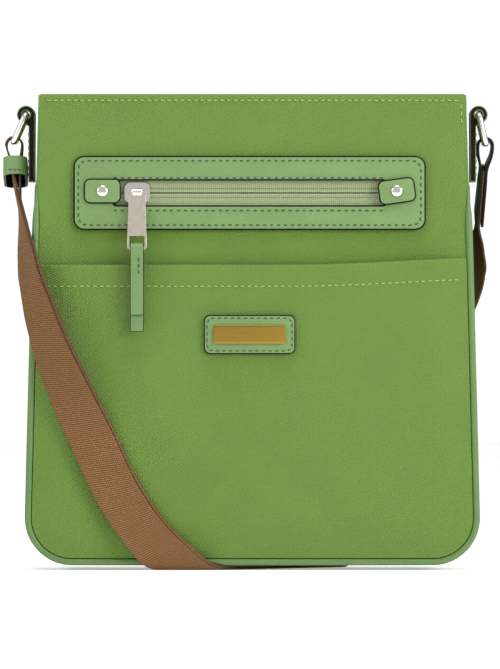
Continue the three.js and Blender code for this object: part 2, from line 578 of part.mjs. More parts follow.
// The stretch of one layer between two values of t, measured on its middle line.
function lying(fromT, toT, offset, count, columns) {
  const uAt = (t) => steps(1, 30, 29).reduce(
    (u, k) => u + (layout.getPointAt(u).y < t ? 1 : -1) / 2 ** (k + 1), 0.5);
  const grid = (lift) => steps(uAt(fromT), uAt(toT), count).map((u) => {
    const [p, along] = [layout.getPointAt(u), layout.getTangentAt(u)];
    return steps(-0.5, 0.5, columns).map((w) => foldPoint(
      p.x + w * STRAP_WIDTH * along.y, p.y - w * STRAP_WIDTH * along.x, offset + lift));
  });
  return between(grid(WEB / 2), grid(-WEB / 2));
}
const LAYER = (WEB + LAYER_GAP) / 2;
const tFold = STRAP_TOP - 22; // the ends of the stretch under the bag, a little up each side
const tRise = backT(18);
const tTop = backT(STRAP.backTop);
const tAdjuster = backT(ADJUSTER.z);
for (const [name, offset] of [["outer", LAYER], ["inner", -LAYER]]) {
  add(`strap_front_${name}`, lying(0.9, tFold - 0.2, offset, 10, 2), webbing);
  add(`strap_under_${name}`, lying(tFold + 0.2, tRise - 0.2, offset, 44, 8), webbing);
}
add("strap_back_outer", lying(tRise + 0.2, tTop - 0.9, LAYER, 10, 2), webbing);
add("strap_back_inner", lying(tRise + 0.2, tAdjuster - ADJUSTER.bar, -LAYER, 10, 2), webbing);

// The free stretch from the left ring down to the front of the bag, which turns a quarter as it drops.
// Its points are [x, y, z, turn]. In the tables below, x and y are how far a point stands outside the
// piping, at the side and at the front or back.
const outside = (side, face) => ([x, y, z, turn]) => [
  side * (seamHalf(z) + PIPE_R + x), face * (BASE_DEPTH / 2 + PIPE_R + y), z, turn];
const dropLine = [
  [leftBar.x + 2.96, -8.8, 202.6, 90],
  ...[
    [6.06, -17, 190, 82], [3.9, -8.9, 176, 73], [0.84, 0.1, 162, 64], [-3.22, 5.4, 148, 54],
    [-7.23, 9, 136, 45], [-13.14, 10.5, 120, 33], [-19.73, 9.8, 105, 22], [-27.77, 8, 88, 11],
  ].map(outside(-1, -1)),
  [-STRAP.frontX, FRONT_Y, STRAP_TOP, 0], [-73, FRONT_Y, 40, 0],
];
const riseLine = [
  [rightBar.x - 3.21, 11.2, 191.6, 90],
  ...[
    [4.63, -15.2, 181, 80], [3.24, -4.6, 170, 68], [-0.77, 3.4, 158, 54], [-6.65, 7.2, 147, 38],
    [-13.53, 6.2, 136, 20],
  ].map(outside(1, 1)),
  [backX(STRAP.backTop), BACK_Y + LAYER, STRAP.backTop, 0], [backX(100), BACK_Y + LAYER, 100, 0],
];
// The way the width lies, turned from flat on the bag by the angles in the line's last column.
function turning(line, side) {
  return (_, u) => {
    const at = u * (line.length - 1);
    const i = Math.min(line.length - 2, Math.floor(at));
    const a = rad(lerp(line[i][3], line[i + 1][3], at - i));
    return V(side * Math.cos(a), -side * Math.sin(a), 0);
  };
}
const spots = (line) => line.map(([x, y, z]) => V(x, y, z));
for (const [name, offset] of [["outer", LAYER], ["inner", -LAYER]]) {
  add(`strap_drop_${name}`, ribbon(spots(dropLine), turning(dropLine, 1), {
    width: STRAP_WIDTH, thick: WEB, offset, lead: 1 }), webbing);
}
add("strap_rise", ribbon(spots(riseLine), turning(riseLine, -1), {
  width: STRAP_WIDTH, thick: WEB, lead: 1 }), webbing);

// What hangs on a ring leans forward or back more the further it is below the ring's lower bar.
const below = (bar, z) => Math.max(0, bar.z - z);
const hung = (bar, lean, path) => path.map(([x, z]) => V(x, lean * below(bar, z) ** 2, z));
const leaning = (bar, lean) => (p) => V(0, -1, -2 * lean * below(bar, p.z));
const beside = (bar, path) => path.map(([x, z]) => [bar.x + x, z]);
const overBar = (bar, r, drop) => steps(180, 0, 6).map((a) => [
  bar.x + r * Math.cos(rad(a)), bar.z - drop + r * Math.sin(rad(a))]);

// Left ring: the webbing goes over its lower bar and back down as the second layer.
const LEFT_LEAN = -0.0079;
const wrapPath = [
  ...beside(leftBar, [[2.91 - LAYER, 204], [0.31, 213], [-1.09, 219], [-1.99, 225], [-3.59, 230.5]]),
  ...overBar(leftBar, WIRE_R + 2.4, 1.6),
  ...beside(leftBar, [[4.11, 230], [3.41, 224], [3.31, 215], [2.91 + LAYER, 204]]),
];
add("strap_loop_left", ribbon(hung(leftBar, LEFT_LEAN, wrapPath), leaning(leftBar, LEFT_LEAN), {
  width: STRAP_WIDTH, thick: WEB }), webbing);

// A leather band round both layers.
const keeperShape = roundedRect(KEEPER.across, KEEPER.deep, KEEPER.wall + 4);
keeperShape.holes.push(roundedRect(
  KEEPER.across - 2 * KEEPER.wall, KEEPER.deep - 2 * KEEPER.wall, 4, THREE.Path));
const keeperDrop = below(leftBar, KEEPER.z);
add("strap_keeper", extrude(keeperShape, KEEPER.height).translate(0, 0, -KEEPER.height / 2)
  .rotateX(2 * LEFT_LEAN * keeperDrop)
  .translate(leftBar.x + KEEPER.x, LEFT_LEAN * keeperDrop ** 2, KEEPER.z), leather);

// Right ring: a leather tab goes over its lower bar and is sewn to both sides of the webbing's end.
const RIGHT_LEAN = 0.006;
const END = { thick: 1.6, top: 222, bottom: 193.6, topX: -0.81, bottomX: -3.21 };
const legGap = (WEB + END.thick) / 2 + GAP;
const endLine = (shift) => beside(rightBar, steps(0, 1, 4).map((v) => [
  lerp(END.bottomX, END.topX, v) + shift, lerp(END.bottom, END.top, v)]));
const endPath = [
  ...endLine(-legGap), [rightBar.x - 3.9, 229], ...overBar(rightBar, WIRE_R + 2, 0.9),
  [rightBar.x + 3.4, 229], ...endLine(legGap).reverse(),
];
add("strap_end_tab", ribbon(hung(rightBar, RIGHT_LEAN, endPath), leaning(rightBar, RIGHT_LEAN), {
  width: STRAP_WIDTH, thick: END.thick, each: 2 }), leather);
add("strap_end_webbing", ribbon(hung(rightBar, RIGHT_LEAN, endLine(0)), leaning(rightBar, RIGHT_LEAN), {
  width: STRAP_WIDTH - 1, thick: WEB, each: 2 }), webbing);

// The slide adjuster: rails beside the webbing, end bars over the outer layer and a middle bar under
// it, which the inner layer ends on. Drawn with the strap along Y and outwards along Z.
function adjuster() {
  const halfW = ADJUSTER.width / 2;
  const halfH = ADJUSTER.height / 2;
  const inner = STRAP_WIDTH / 2 + GAP + 0.3;
  const over = LAYER + WEB / 2 + GAP;
  const low = -LAYER - WEB / 2 + 0.1;
  const rails = [-1, 1].map((s) =>
    block(s < 0 ? [-halfW, -inner] : [inner, halfW], [-halfH, halfH], [low, over + 1.2]));
  const ends = [-1, 1].map((s) => block(
    [-halfW + 0.5, halfW - 0.5], s < 0 ? [-halfH, -halfH + ADJUSTER.bar] : [halfH - ADJUSTER.bar, halfH],
    [over, over + 1.2]));
  const middle = block([-halfW + 0.5, halfW - 0.5], [-1.3, 1.3], [low, LAYER - WEB / 2 - GAP]);
  return join(...rails, ...ends, middle);
}
const adjusterPlace = foldPoint(backX(ADJUSTER.z), tAdjuster, 0);
add("slide_adjuster", adjuster().rotateX(Math.PI / 2).rotateZ(Math.PI)
  .rotateY(rad(ADJUSTER.angle)).translate(...adjusterPlace), nickel);

export default purse;
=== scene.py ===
# Crossbody purse: nylon bag with leather trim, a framed front zip pocket, a slip pocket, a recessed
# top zip, rings at the sides and a webbing strap wrapped around the bag. Metres, +Z up, front to -Y.
import math

import bpy
from mathutils import Matrix, Vector, noise


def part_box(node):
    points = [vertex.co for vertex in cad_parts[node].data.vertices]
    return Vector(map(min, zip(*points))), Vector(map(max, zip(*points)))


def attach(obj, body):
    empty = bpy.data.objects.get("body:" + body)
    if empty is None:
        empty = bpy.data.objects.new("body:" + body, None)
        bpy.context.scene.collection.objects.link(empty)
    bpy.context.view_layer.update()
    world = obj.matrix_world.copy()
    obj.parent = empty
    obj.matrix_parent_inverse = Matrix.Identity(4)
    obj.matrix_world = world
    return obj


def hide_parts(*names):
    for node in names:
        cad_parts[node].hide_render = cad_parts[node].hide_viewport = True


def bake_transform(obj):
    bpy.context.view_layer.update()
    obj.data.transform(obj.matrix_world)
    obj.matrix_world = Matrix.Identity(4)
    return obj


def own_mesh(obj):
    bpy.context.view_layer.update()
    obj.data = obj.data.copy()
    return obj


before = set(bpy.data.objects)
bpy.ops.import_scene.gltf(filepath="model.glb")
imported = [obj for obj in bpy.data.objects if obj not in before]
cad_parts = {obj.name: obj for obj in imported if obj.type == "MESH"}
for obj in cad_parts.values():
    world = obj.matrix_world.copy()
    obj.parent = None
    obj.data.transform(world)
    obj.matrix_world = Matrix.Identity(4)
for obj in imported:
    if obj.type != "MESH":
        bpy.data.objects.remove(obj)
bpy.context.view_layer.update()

# ---- Camera, floor and light ----
# A long lens looks straight at the front from mid height. The floor is pale, and three large soft
# lights and a white surrounding give an even studio light.
VIEW_HEIGHT = 0.368  # how much of the bag's front plane is in view, from bottom to top
VIEW_MIDDLE = Vector((-0.0013, -0.031, 0.1295))
CAMERA_AWAY = 5.0
SENSOR = 36


def linked(name, data):
    """A new object in the scene."""
    made = bpy.data.objects.new(name, data)
    bpy.context.scene.collection.objects.link(made)
    return made


camera_data = bpy.data.cameras.new("camera")
camera = linked("camera", camera_data)
camera.location = VIEW_MIDDLE + Vector((0, -CAMERA_AWAY, 0))
camera.rotation_euler = (math.pi / 2, 0, 0)
camera_data.sensor_width = SENSOR
camera_data.lens = SENSOR * CAMERA_AWAY / VIEW_HEIGHT
camera_data.clip_end = 50
bpy.context.scene.camera = camera
bpy.context.scene.view_settings.view_transform = "Standard"


def add_node(tree, kind, feeds=None, **settings):
    """A shader node with its settings; feeds gives its inputs, each a value or a socket."""
    made = tree.nodes.new("ShaderNode" + kind)
    for key, value in settings.items():
        setattr(made, key, value)
    for key, value in (feeds or {}).items():
        if isinstance(value, bpy.types.NodeSocket):
            tree.links.new(value, made.inputs[key])
        else:
            made.inputs[key].default_value = value
    return made


def linear(code):
    """The shader colour of a colour written as six hex digits."""
    parts = [int(code[i : i + 2], 16) / 255 for i in (0, 2, 4)]
    return (*[p / 12.92 if p < 0.04045 else ((p + 0.055) / 1.055) ** 2.4 for p in parts], 1)


def new_material(name, colour, roughness, **sockets):
    """A material with its Principled BSDF, for the section to wire up."""
    material = bpy.data.materials.new(name)
    material.use_nodes = True
    shader = material.node_tree.nodes["Principled BSDF"]
    shader.inputs["Base Color"].default_value = linear(colour)
    shader.inputs["Roughness"].default_value = roughness
    for key, value in sockets.items():
        shader.inputs[key.replace("_", " ")].default_value = value
    return material, material.node_tree, shader


def nothing_selected():
    if bpy.context.object and bpy.context.object.mode != "OBJECT":
        bpy.ops.object.mode_set(mode="OBJECT")
    bpy.ops.object.select_all(action="DESELECT")


def select_only(piece):
    nothing_selected()
    bpy.context.view_layer.objects.active = piece
    piece.select_set(True)


FLOOR_SIZE, FLOOR_LEVEL = 12, -0.0002
WHITE = (1, 1, 1, 1)
nothing_selected()
bpy.ops.mesh.primitive_plane_add(size=FLOOR_SIZE, location=(0, 0, FLOOR_LEVEL))
floor = bpy.context.object
floor.name = "floor"
paper, _, _ = new_material("floor_paper", "fbfbfa", 0.85, Emission_Color=WHITE, Emission_Strength=0.36)
floor.data.materials.append(paper)

world = bpy.data.worlds.new("studio")
world.use_nodes = True
world_tree = world.node_tree
seen = add_node(world_tree, "LightPath").outputs["Is Camera Ray"]
SURROUND = 0.62  # how strongly the white surrounding lights the bag
BACKDROP = 1.05  # how strongly it shows to the camera, as plain white
strength = add_node(world_tree, "Math", {0: seen, 1: BACKDROP - SURROUND, 2: SURROUND},
                    operation="MULTIPLY_ADD")
world_tree.nodes["Background"].inputs["Color"].default_value = WHITE
world_tree.links.new(strength.outputs[0], world_tree.nodes["Background"].inputs["Strength"])
bpy.context.scene.world = world

LAMP_SIZE = 1.1
for name, place, watts in (
    ("light_left", (-1.9, -1.3, 1.2), 19),
    ("light_right", (1.9, -1.5, 1.0), 48),
    ("light_top", (0.1, -0.5, 2.2), 30),
):
    lamp = bpy.data.lights.new(name, "AREA")
    lamp.size, lamp.energy = LAMP_SIZE, watts
    holder = linked(name, lamp)
    holder.location = place
    holder.rotation_euler = (VIEW_MIDDLE - Vector(place)).to_track_quat("-Z", "Y").to_euler()

# ---- The bag's form ----
# Front and back are flat up to the shoulder and lean together above it. The seam line that joins
# them to the gusset has straight sides that taper a little, and round bottom corners.
RIM_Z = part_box("front_panel")[1].z
CLOTH = 0.001
BASE_HALF_DEPTH = -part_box("front_panel")[0].y
RIM_HALF_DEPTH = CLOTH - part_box("front_panel")[1].y
SHOULDER_Z = 0.172
SEAM_HALF, RIM_SEAM_HALF = 0.1233, 0.1173
SEAM_BASE, CORNER_R = 0.0045, 0.024
CORNER_Z = SEAM_BASE + CORNER_R
CORNER_X = SEAM_HALF - CORNER_R
SIDE_TAPER = (SEAM_HALF - RIM_SEAM_HALF) / (RIM_Z - CORNER_Z)
PIPE_R = 0.002
TRIM_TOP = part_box("piping_front")[1].z


def lerp(a, b, t):
    return a + (b - a) * t


def smooth(t):
    t = min(1.0, max(0.0, t))
    return t * t * (3 - 2 * t)


def half_depth(z):
    rise = max(0.0, (z - SHOULDER_Z) / (RIM_Z - SHOULDER_Z))
    return lerp(BASE_HALF_DEPTH, RIM_HALF_DEPTH, rise)


def seam_half(z, grow=0.0):
    """Half the width of the seam line at a height, moved outwards by grow."""
    if z >= CORNER_Z:
        return SEAM_HALF + grow - SIDE_TAPER * (z - CORNER_Z)
    return CORNER_X + math.sqrt(max(0.0, (CORNER_R + grow) ** 2 - (CORNER_Z - z) ** 2))


def levels(grow, top, count):
    """Heights from the base of the seam line moved by grow, close together in its round corners."""
    turn = [CORNER_Z - (CORNER_R + grow) * math.cos(math.radians(a)) for a in range(0, 90, 9)]
    return turn + [lerp(CORNER_Z, top, k / count) for k in range(count + 1)]


# ---- Nylon ----
# Light coated twill, green, with a soft sheen, a fine weave and faint creases. Each cloth piece is
# a sheet through rows of points with a UV map in metres, thickened to the cloth and its backing.
NYLON_GREEN = "557323"


def ripple(x, z, seed, size):
    """Smooth noise from -1 to 1 that changes over size."""
    return noise.noise(Vector((x / size, z / size, seed)))


def group_of(name, inputs, output, kind):
    """An empty shader node group with one output."""
    tree = bpy.data.node_groups.new(name, "ShaderNodeTree")
    for label, socket in inputs:
        tree.interface.new_socket(label, in_out="INPUT", socket_type="NodeSocket" + socket)
    tree.interface.new_socket(output, in_out="OUTPUT", socket_type="NodeSocket" + kind)
    return tree, tree.nodes.new("NodeGroupInput").outputs, tree.nodes.new("NodeGroupOutput").inputs


def wired(tree, group, feeds):
    """The output of a node group that is put into a tree."""
    return add_node(tree, "Group", feeds, node_tree=group).outputs[0]


# Uneven dye: Colour made lighter and darker by cloudy noise of a size.
mottle, given, out = group_of(
    "uneven_dye", [("Vector", "Vector"), ("Colour", "Color"), ("Size", "Float"), ("Amount", "Float")],
    "Colour", "Color")
frequency = add_node(mottle, "Math", {0: 1.0, 1: given["Size"]}, operation="DIVIDE")
clouds = add_node(mottle, "TexNoise",
                  {"Vector": given["Vector"], "Scale": frequency.outputs[0], "Detail": 4.0})
centred = add_node(mottle, "Math", {0: clouds.outputs["Fac"], 1: 0.5}, operation="SUBTRACT")
spread = add_node(mottle, "Math", {0: centred.outputs[0], 1: given["Amount"]}, operation="MULTIPLY")
shade = add_node(mottle, "Math", {0: spread.outputs[0], 1: 1.0}, operation="ADD")
dyed = add_node(mottle, "HueSaturation", {"Value": shade.outputs[0], "Color": given["Colour"]})
mottle.links.new(dyed.outputs[0], out["Colour"])

# Weave: the height of threads that cross at a pitch, with one set slanted as in a twill.
weave, given, out = group_of(
    "cloth_weave", [("Vector", "Vector"), ("Pitch", "Float"), ("Slant", "Float")], "Height", "Float")
turns = add_node(weave, "Math", {0: 2 * math.pi, 1: given["Pitch"]}, operation="DIVIDE")
place = add_node(weave, "SeparateXYZ", {"Vector": given["Vector"]})
slant = add_node(weave, "Math", {0: place.outputs["X"], 1: given["Slant"], 2: place.outputs["Y"]},
                 operation="MULTIPLY_ADD")
waves = []
for source in (place.outputs["X"], slant.outputs[0]):
    phase = add_node(weave, "Math", {0: source, 1: turns.outputs[0]}, operation="MULTIPLY")
    waves.append(add_node(weave, "Math", {0: phase.outputs[0]}, operation="SINE").outputs[0])
crossed = add_node(weave, "Math", {0: waves[0], 1: 0.45, 2: waves[1]}, operation="MULTIPLY_ADD")
weave.links.new(crossed.outputs[0], out["Height"])


def surface_place(tree, by="UV"):
    return add_node(tree, "TexCoord").outputs[by]


def bumped(tree, shader, height, distance, strength=1.0):
    """Height in thousandths of a metre times distance, as the shader's normal."""
    bump = add_node(tree, "Bump", {"Height": height, "Distance": distance, "Strength": strength})
    tree.links.new(bump.outputs[0], shader.inputs["Normal"])


CLOUD, FLECK = 0.03, 0.0012  # sizes of the uneven places in a cloth's dye
WEAVE_REACH = 1.4  # how far the weave's height goes from its middle


def cloth_material(name, colour, roughness, pitch, slant, depth, amount, dark=0.8, **sockets):
    material, tree, shader = new_material(name, colour, roughness, **sockets)
    at = surface_place(tree)
    broad = wired(tree, mottle, {"Vector": at, "Colour": linear(colour), "Size": CLOUD, "Amount": amount})
    fine = wired(tree, mottle, {"Vector": at, "Colour": broad, "Size": FLECK, "Amount": amount})
    threads = wired(tree, weave, {"Vector": at, "Pitch": pitch, "Slant": slant})
    valley = add_node(tree, "MapRange",
                      {"Value": threads, 1: -WEAVE_REACH, 2: WEAVE_REACH, 3: dark, 4: 2.0 - dark})
    shaded = add_node(tree, "HueSaturation", {"Value": valley.outputs[0], "Color": fine})
    tree.links.new(shaded.outputs[0], shader.inputs["Base Color"])
    creases = add_node(tree, "TexNoise", {"Vector": at, "Scale": 26.0, "Detail": 3.0, "Distortion": 0.4})
    mixed = add_node(tree, "Math", {0: creases.outputs["Fac"], 1: 4.0, 2: threads}, operation="MULTIPLY_ADD")
    bumped(tree, shader, mixed.outputs[0], depth)
    return material


nylon = cloth_material("green_nylon", NYLON_GREEN, 0.5, 0.0009, 0.35, 0.00013, 0.18, 0.86,
                       Sheen_Weight=0.08, Sheen_Roughness=0.4, Specular_IOR_Level=0.35)


def sheet_through(name, rows):
    """A sheet through rows of points, with its UV map in metres."""
    nothing_selected()
    along, across = len(rows) - 1, len(rows[0]) - 1
    bpy.ops.mesh.primitive_grid_add(x_subdivisions=across, y_subdivisions=along, size=2)
    piece = bpy.context.object
    piece.name = name
    middle = across // 2
    reach = [0.0]
    for a, b in zip(rows, rows[1:]):
        reach.append(reach[-1] + (b[middle] - a[middle]).length)
    widths = []
    for row in rows:
        wide = [0.0]
        for a, b in zip(row, row[1:]):
            wide.append(wide[-1] + (b - a).length)
        widths.append([w - wide[middle] for w in wide])
    spot = [(round((v.co.y + 1) / 2 * along), round((v.co.x + 1) / 2 * across))
            for v in piece.data.vertices]
    layer = piece.data.uv_layers[0]
    for loop in piece.data.loops:
        i, j = spot[loop.vertex_index]
        layer.data[loop.index].uv = (widths[i][j], reach[i])
    for v in piece.data.vertices:
        i, j = spot[v.index]
        v.co = rows[i][j]
    return piece


def apply_modifier(piece, kind, **settings):
    select_only(piece)
    modifier = piece.modifiers.new(kind.lower(), kind)
    for key, value in settings.items():
        setattr(modifier, key, value)
    bpy.ops.object.modifier_apply(modifier=modifier.name)


def smooth_shaded(piece, degrees=40):
    select_only(piece)
    bpy.ops.object.shade_smooth_by_angle(angle=math.radians(degrees))


def faces_outwards(piece, merge=0):
    """Joins the corners that are closer than merge, and turns all faces outwards."""
    select_only(piece)
    bpy.ops.object.mode_set(mode="EDIT")
    bpy.ops.mesh.select_all(action="SELECT")
    if merge:
        bpy.ops.mesh.remove_doubles(threshold=merge)
    bpy.ops.mesh.normals_make_consistent(inside=False)
    bpy.ops.object.mode_set(mode="OBJECT")


def thicken(piece, thick, edge=0.0, offset=0.0):
    """Gives a sheet its thickness. Its rim and rounded edges take the second material."""
    for _ in range(2):
        piece.data.materials.append(None)
    apply_modifier(piece, "SOLIDIFY", thickness=thick, offset=offset, use_even_offset=True,
                   material_offset_rim=1)
    if edge:
        apply_modifier(piece, "BEVEL", width=edge, segments=2, limit_method="ANGLE",
                       angle_limit=math.radians(60), material=1)
    smooth_shaded(piece)


def dress(piece, materials):
    """Gives a piece its materials, into the places that its faces already name."""
    for index, material in enumerate(materials):
        if index < len(piece.data.materials):
            piece.data.materials[index] = material
        else:
            piece.data.materials.append(material)


def settle(piece, body, slot, materials, *nodes):
    """Dresses a finished piece, puts it on its body and lets it stand for its CAD nodes."""
    dress(piece, materials)
    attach(piece, body)
    if nodes:
        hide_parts(*nodes)


def nylon_piece(name, rows, node):
    piece = sheet_through(name, rows)
    thicken(piece, CLOTH)
    settle(piece, "bag", "nylon", [nylon, nylon], node)


# Front and back panels: cut to the seam line, folded over the rim and sewn down inside. They sag a
# little between their seams. The front one has a slot behind the zip's frame.
RIM_FOLD = 0.0009
FOLD_DOWN = 0.007
PANEL_SAG = 0.0011
PUCKER = 0.00022
SEAM_GAP = 0.0002
PIPE_TIP, TIP_LENGTH = 0.22, 0.022  # the share of its radius that the piping keeps at its tip
COLUMNS = 72
ACROSS = [2 * k / COLUMNS - 1 for k in range(COLUMNS + 1)]


def pipe_radius(z):
    return PIPE_R * (PIPE_TIP + (1 - PIPE_TIP) * smooth((TRIM_TOP + 0.001 - z) / TIP_LENGTH))


def panel_half(z):
    return seam_half(z, -pipe_radius(z) - 0.0001)


def fold_over(rows, side, down, steps, lean=0.0):
    """Turns the top of a sheet inwards and down behind itself."""
    top = rows[-1]
    for turn in range(1, 7):
        a = math.radians(30 * turn)
        fold = Vector((0, side * RIM_FOLD * (1 - math.cos(a)), RIM_FOLD * math.sin(a)))
        rows.append([p + fold for p in top])
    last = rows[-1]
    for k in range(1, steps + 1):
        rows.append([p + Vector((0, side * lean * k, -down * k / steps)) for p in last])
    return rows


def panel_rows(side, seed):
    rows = []
    for z in levels(-PIPE_R - SEAM_GAP, RIM_Z - RIM_FOLD, 84):
        row = []
        for u in ACROSS:
            x = u * panel_half(z)
            held = smooth((1 - abs(u)) / 0.12) * smooth((RIM_Z - z) / 0.02)
            held *= smooth((z - SEAM_BASE) / 0.03)
            wave = 0.55 + 0.6 * ripple(x, z, seed, 0.055) + 0.25 * ripple(x, z, seed + 9, 0.02)
            sag = PANEL_SAG * held * wave
            near_rim = math.exp(-(((RIM_Z - 0.003 - z) / 0.006) ** 2))
            near_side = math.exp(-(((1 - abs(u)) * 0.12 / 0.006) ** 2))
            drawn = near_rim * ripple(x, 0, seed + 4, 0.004) + near_side * ripple(0, z, seed + 5, 0.005)
            sag += PUCKER * drawn
            row.append(Vector((side * x, -side * (half_depth(z) - CLOTH / 2 - max(0.0, sag)), z)))
        rows.append(row)
    return fold_over(rows, side, FOLD_DOWN, 3, 0.0004)


front_panel = sheet_through("front_panel_nylon", panel_rows(1, 3.0))
FRAME_X, FRAME_Z = -0.0015, 0.2074  # the middle of the front zip's frame
SLOT_HALF_WIDTH, SLOT_HALF_HEIGHT = 0.0765, 0.0083
select_only(front_panel)
bpy.ops.object.mode_set(mode="EDIT")
bpy.ops.mesh.select_mode(type="FACE")
bpy.ops.mesh.select_all(action="DESELECT")
bpy.ops.object.mode_set(mode="OBJECT")
for face in front_panel.data.polygons:
    away = face.center - Vector((FRAME_X, 0, FRAME_Z))
    face.select = abs(away.x) < SLOT_HALF_WIDTH and abs(away.z) < SLOT_HALF_HEIGHT
bpy.ops.object.mode_set(mode="EDIT")
bpy.ops.mesh.delete(type="FACE")
bpy.ops.object.mode_set(mode="OBJECT")
thicken(front_panel, CLOTH)
settle(front_panel, "bag", "nylon", [nylon, nylon], "front_panel")

nylon_piece("back_panel_nylon", panel_rows(-1, 21.0), "back_panel")

# Gusset: one strip of nylon down one side, under the bag and up the other, swelled between its
# seams and puckered where it is sewn.
GUSSET_SWELL = 0.0013


def u_line(grow):
    """Points of the seam line moved outwards by grow, from the left rim round to the right one."""
    sides = [lerp(RIM_Z, CORNER_Z, k / 60) for k in range(60)]
    turn = [math.radians(a) for a in range(90, -1, -6)]
    left = [(-seam_half(z, grow), z) for z in sides]
    left += [(-CORNER_X - (CORNER_R + grow) * math.sin(a), CORNER_Z - (CORNER_R + grow) * math.cos(a))
             for a in turn]
    under = [(lerp(-CORNER_X, CORNER_X, k / 30), SEAM_BASE - grow) for k in range(1, 30)]
    return left + under + [(-x, z) for x, z in reversed(left)]


def gusset_rows():
    inner, outer = u_line(0.0), u_line(1.0)
    rows = []
    for (x0, z0), (x1, z1) in zip(inner, outer):
        away = Vector((x1 - x0, 0, z1 - z0))
        trimmed = z0 < TRIM_TOP
        half = half_depth(z0) - SEAM_GAP - 1.2 * (pipe_radius(z0) - PIPE_TIP * PIPE_R)
        row = []
        for k in range(17):
            v = k / 8 - 1
            swell = (GUSSET_SWELL if trimmed else 0.0003) * (1 - v * v)
            dent = 0.0005 * ripple(v, (x0 + z0) * 9, 31.0, 0.9) * (1 - v * v)
            pucker = PUCKER * math.exp(-(((1 - abs(v)) / 0.14) ** 2)) * ripple(x0 + z0, v, 33.0, 0.004)
            row.append(Vector((x0, v * half, z0)) + away * (swell - abs(dent) + pucker))
        rows.append(row)
    return rows


nylon_piece("gusset_nylon", gusset_rows(), "gusset")

# Slip pocket: a nylon panel sewn in with the side and bottom seams, full in the middle. Its mouth
# is a folded hem that climbs a little towards the right.
POCKET_ROOM = 0.0046
POCKET_EASE = 0.022
POCKET_HEM = 0.0095
POCKET_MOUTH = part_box("front_pocket_panel")[1].z
MOUTH_RISE = 0.0040


def mouth_z(x):
    return POCKET_MOUTH + MOUTH_RISE * smooth((x - 0.01) / 0.125) ** 1.3


def pocket_face(x, z):
    """How far the pocket's cloth stands off the front panel's face."""
    rise = [math.sin(math.pi / 2 * min(1.0, max(0.0, d / POCKET_EASE)))
            for d in (panel_half(z) - abs(x), z - SEAM_BASE - PIPE_R - SEAM_GAP)]
    full = rise[0] * rise[1]
    soft = smooth(full) * (0.5 + 0.55 * ripple(x, z, 51.0, 0.06) + 0.2 * ripple(x, z, 52.0, 0.022))
    side = math.exp(-(((panel_half(z) - abs(x)) / 0.007) ** 2)) * PUCKER * ripple(0, z, 53.0, 0.005)
    return lerp(0.0003, POCKET_ROOM, full) + CLOTH / 2 - 0.0012 * max(0.0, soft) + side


def pocket_rows():
    rows = []
    for z in levels(-PIPE_R - SEAM_GAP, POCKET_MOUTH, 50):
        row = []
        for u in ACROSS:
            x = u * panel_half(z)
            climb = smooth((z - CORNER_Z) / (POCKET_MOUTH - CORNER_Z)) * (mouth_z(x) - POCKET_MOUTH)
            up = z + climb
            row.append(Vector((x, -half_depth(z) - pocket_face(x, z), up)))
        rows.append(row)
    return fold_over(rows, 1, POCKET_HEM, 4)


nylon_piece("slip_pocket_nylon", pocket_rows(), "front_pocket_panel")

# ---- Leather trim ----
# Green split leather with a fine pebbled grain and dark painted edges. Flat pieces are cut from
# 1 to 2 mm hide, their edges rounded and painted.
LEATHER_GREEN = "5d7a43"

grain, given, out = group_of("leather_grain", [("Vector", "Vector"), ("Size", "Float")], "Height", "Float")
frequency = add_node(grain, "Math", {0: 1.0, 1: given["Size"]}, operation="DIVIDE")
pebbles = add_node(grain, "TexVoronoi", {"Vector": given["Vector"], "Scale": frequency.outputs[0]},
                   feature="DISTANCE_TO_EDGE")
crown = add_node(grain, "MapRange", {"Value": pebbles.outputs["Distance"], 1: 0.0, 2: 0.22, 3: 0.0, 4: 1.0})
pores = add_node(grain, "TexNoise",
                 {"Vector": given["Vector"], "Scale": frequency.outputs[0], "Detail": 3.0})
summed = add_node(grain, "Math", {0: pores.outputs["Fac"], 1: 1.2, 2: crown.outputs[0]},
                  operation="MULTIPLY_ADD")
grain.links.new(summed.outputs[0], out["Height"])


def leather_material(name, colour, roughness, depth=0.00005, shine=0.5):
    material, tree, shader = new_material(name, colour, roughness, Coat_Weight=0.12 * shine,
                                          Coat_Roughness=0.4, Specular_IOR_Level=shine)
    at = surface_place(tree, "Object")
    broad = wired(tree, mottle, {"Vector": at, "Colour": linear(colour), "Size": 0.012, "Amount": 0.2})
    height = wired(tree, grain, {"Vector": at, "Size": 0.0009})
    hollow = add_node(tree, "MapRange", {"Value": height, 1: 0.2, 2: 1.5, 3: 0.86, 4: 1.05})
    shaded = add_node(tree, "HueSaturation", {"Value": hollow.outputs[0], "Color": broad})
    tree.links.new(shaded.outputs[0], shader.inputs["Base Color"])
    dull = add_node(tree, "MapRange", {"Value": height, 1: 0.2, 2: 1.6, 3: roughness + 0.12, 4: roughness})
    tree.links.new(dull.outputs[0], shader.inputs["Roughness"])
    bumped(tree, shader, height, depth)
    return material


leather = leather_material("green_leather", LEATHER_GREEN, 0.48)
# Near-black paint for the leather's cut edges; the keeper's inner faces take it too, as painted shade.
rim_paint_and_shade = leather_material("dark_rim_paint_and_shade", "14110c", 0.55, 0.00003, 0.12)


def rounded(x, z, width, height, radius, turn=0.0):
    """The outline of a rounded rectangle about (x, z)."""
    radius = min(radius, width / 2 - 1e-5, height / 2 - 1e-5)
    made = []
    for sx, sz, start in ((1, 1, 0), (-1, 1, 90), (-1, -1, 180), (1, -1, 270)):
        for k in range(9):
            a = math.radians(start + k * 90 / 8)
            dx = sx * (width / 2 - radius) + radius * math.cos(a)
            dz = sz * (height / 2 - radius) + radius * math.sin(a)
            made.append((x + dx * math.cos(turn) - dz * math.sin(turn),
                         z + dx * math.sin(turn) + dz * math.cos(turn)))
    return made


def meshed(name, curve):
    """A curve's object, turned into a mesh."""
    select_only(linked(name, curve))
    bpy.ops.object.convert(target="MESH")
    return bpy.context.object


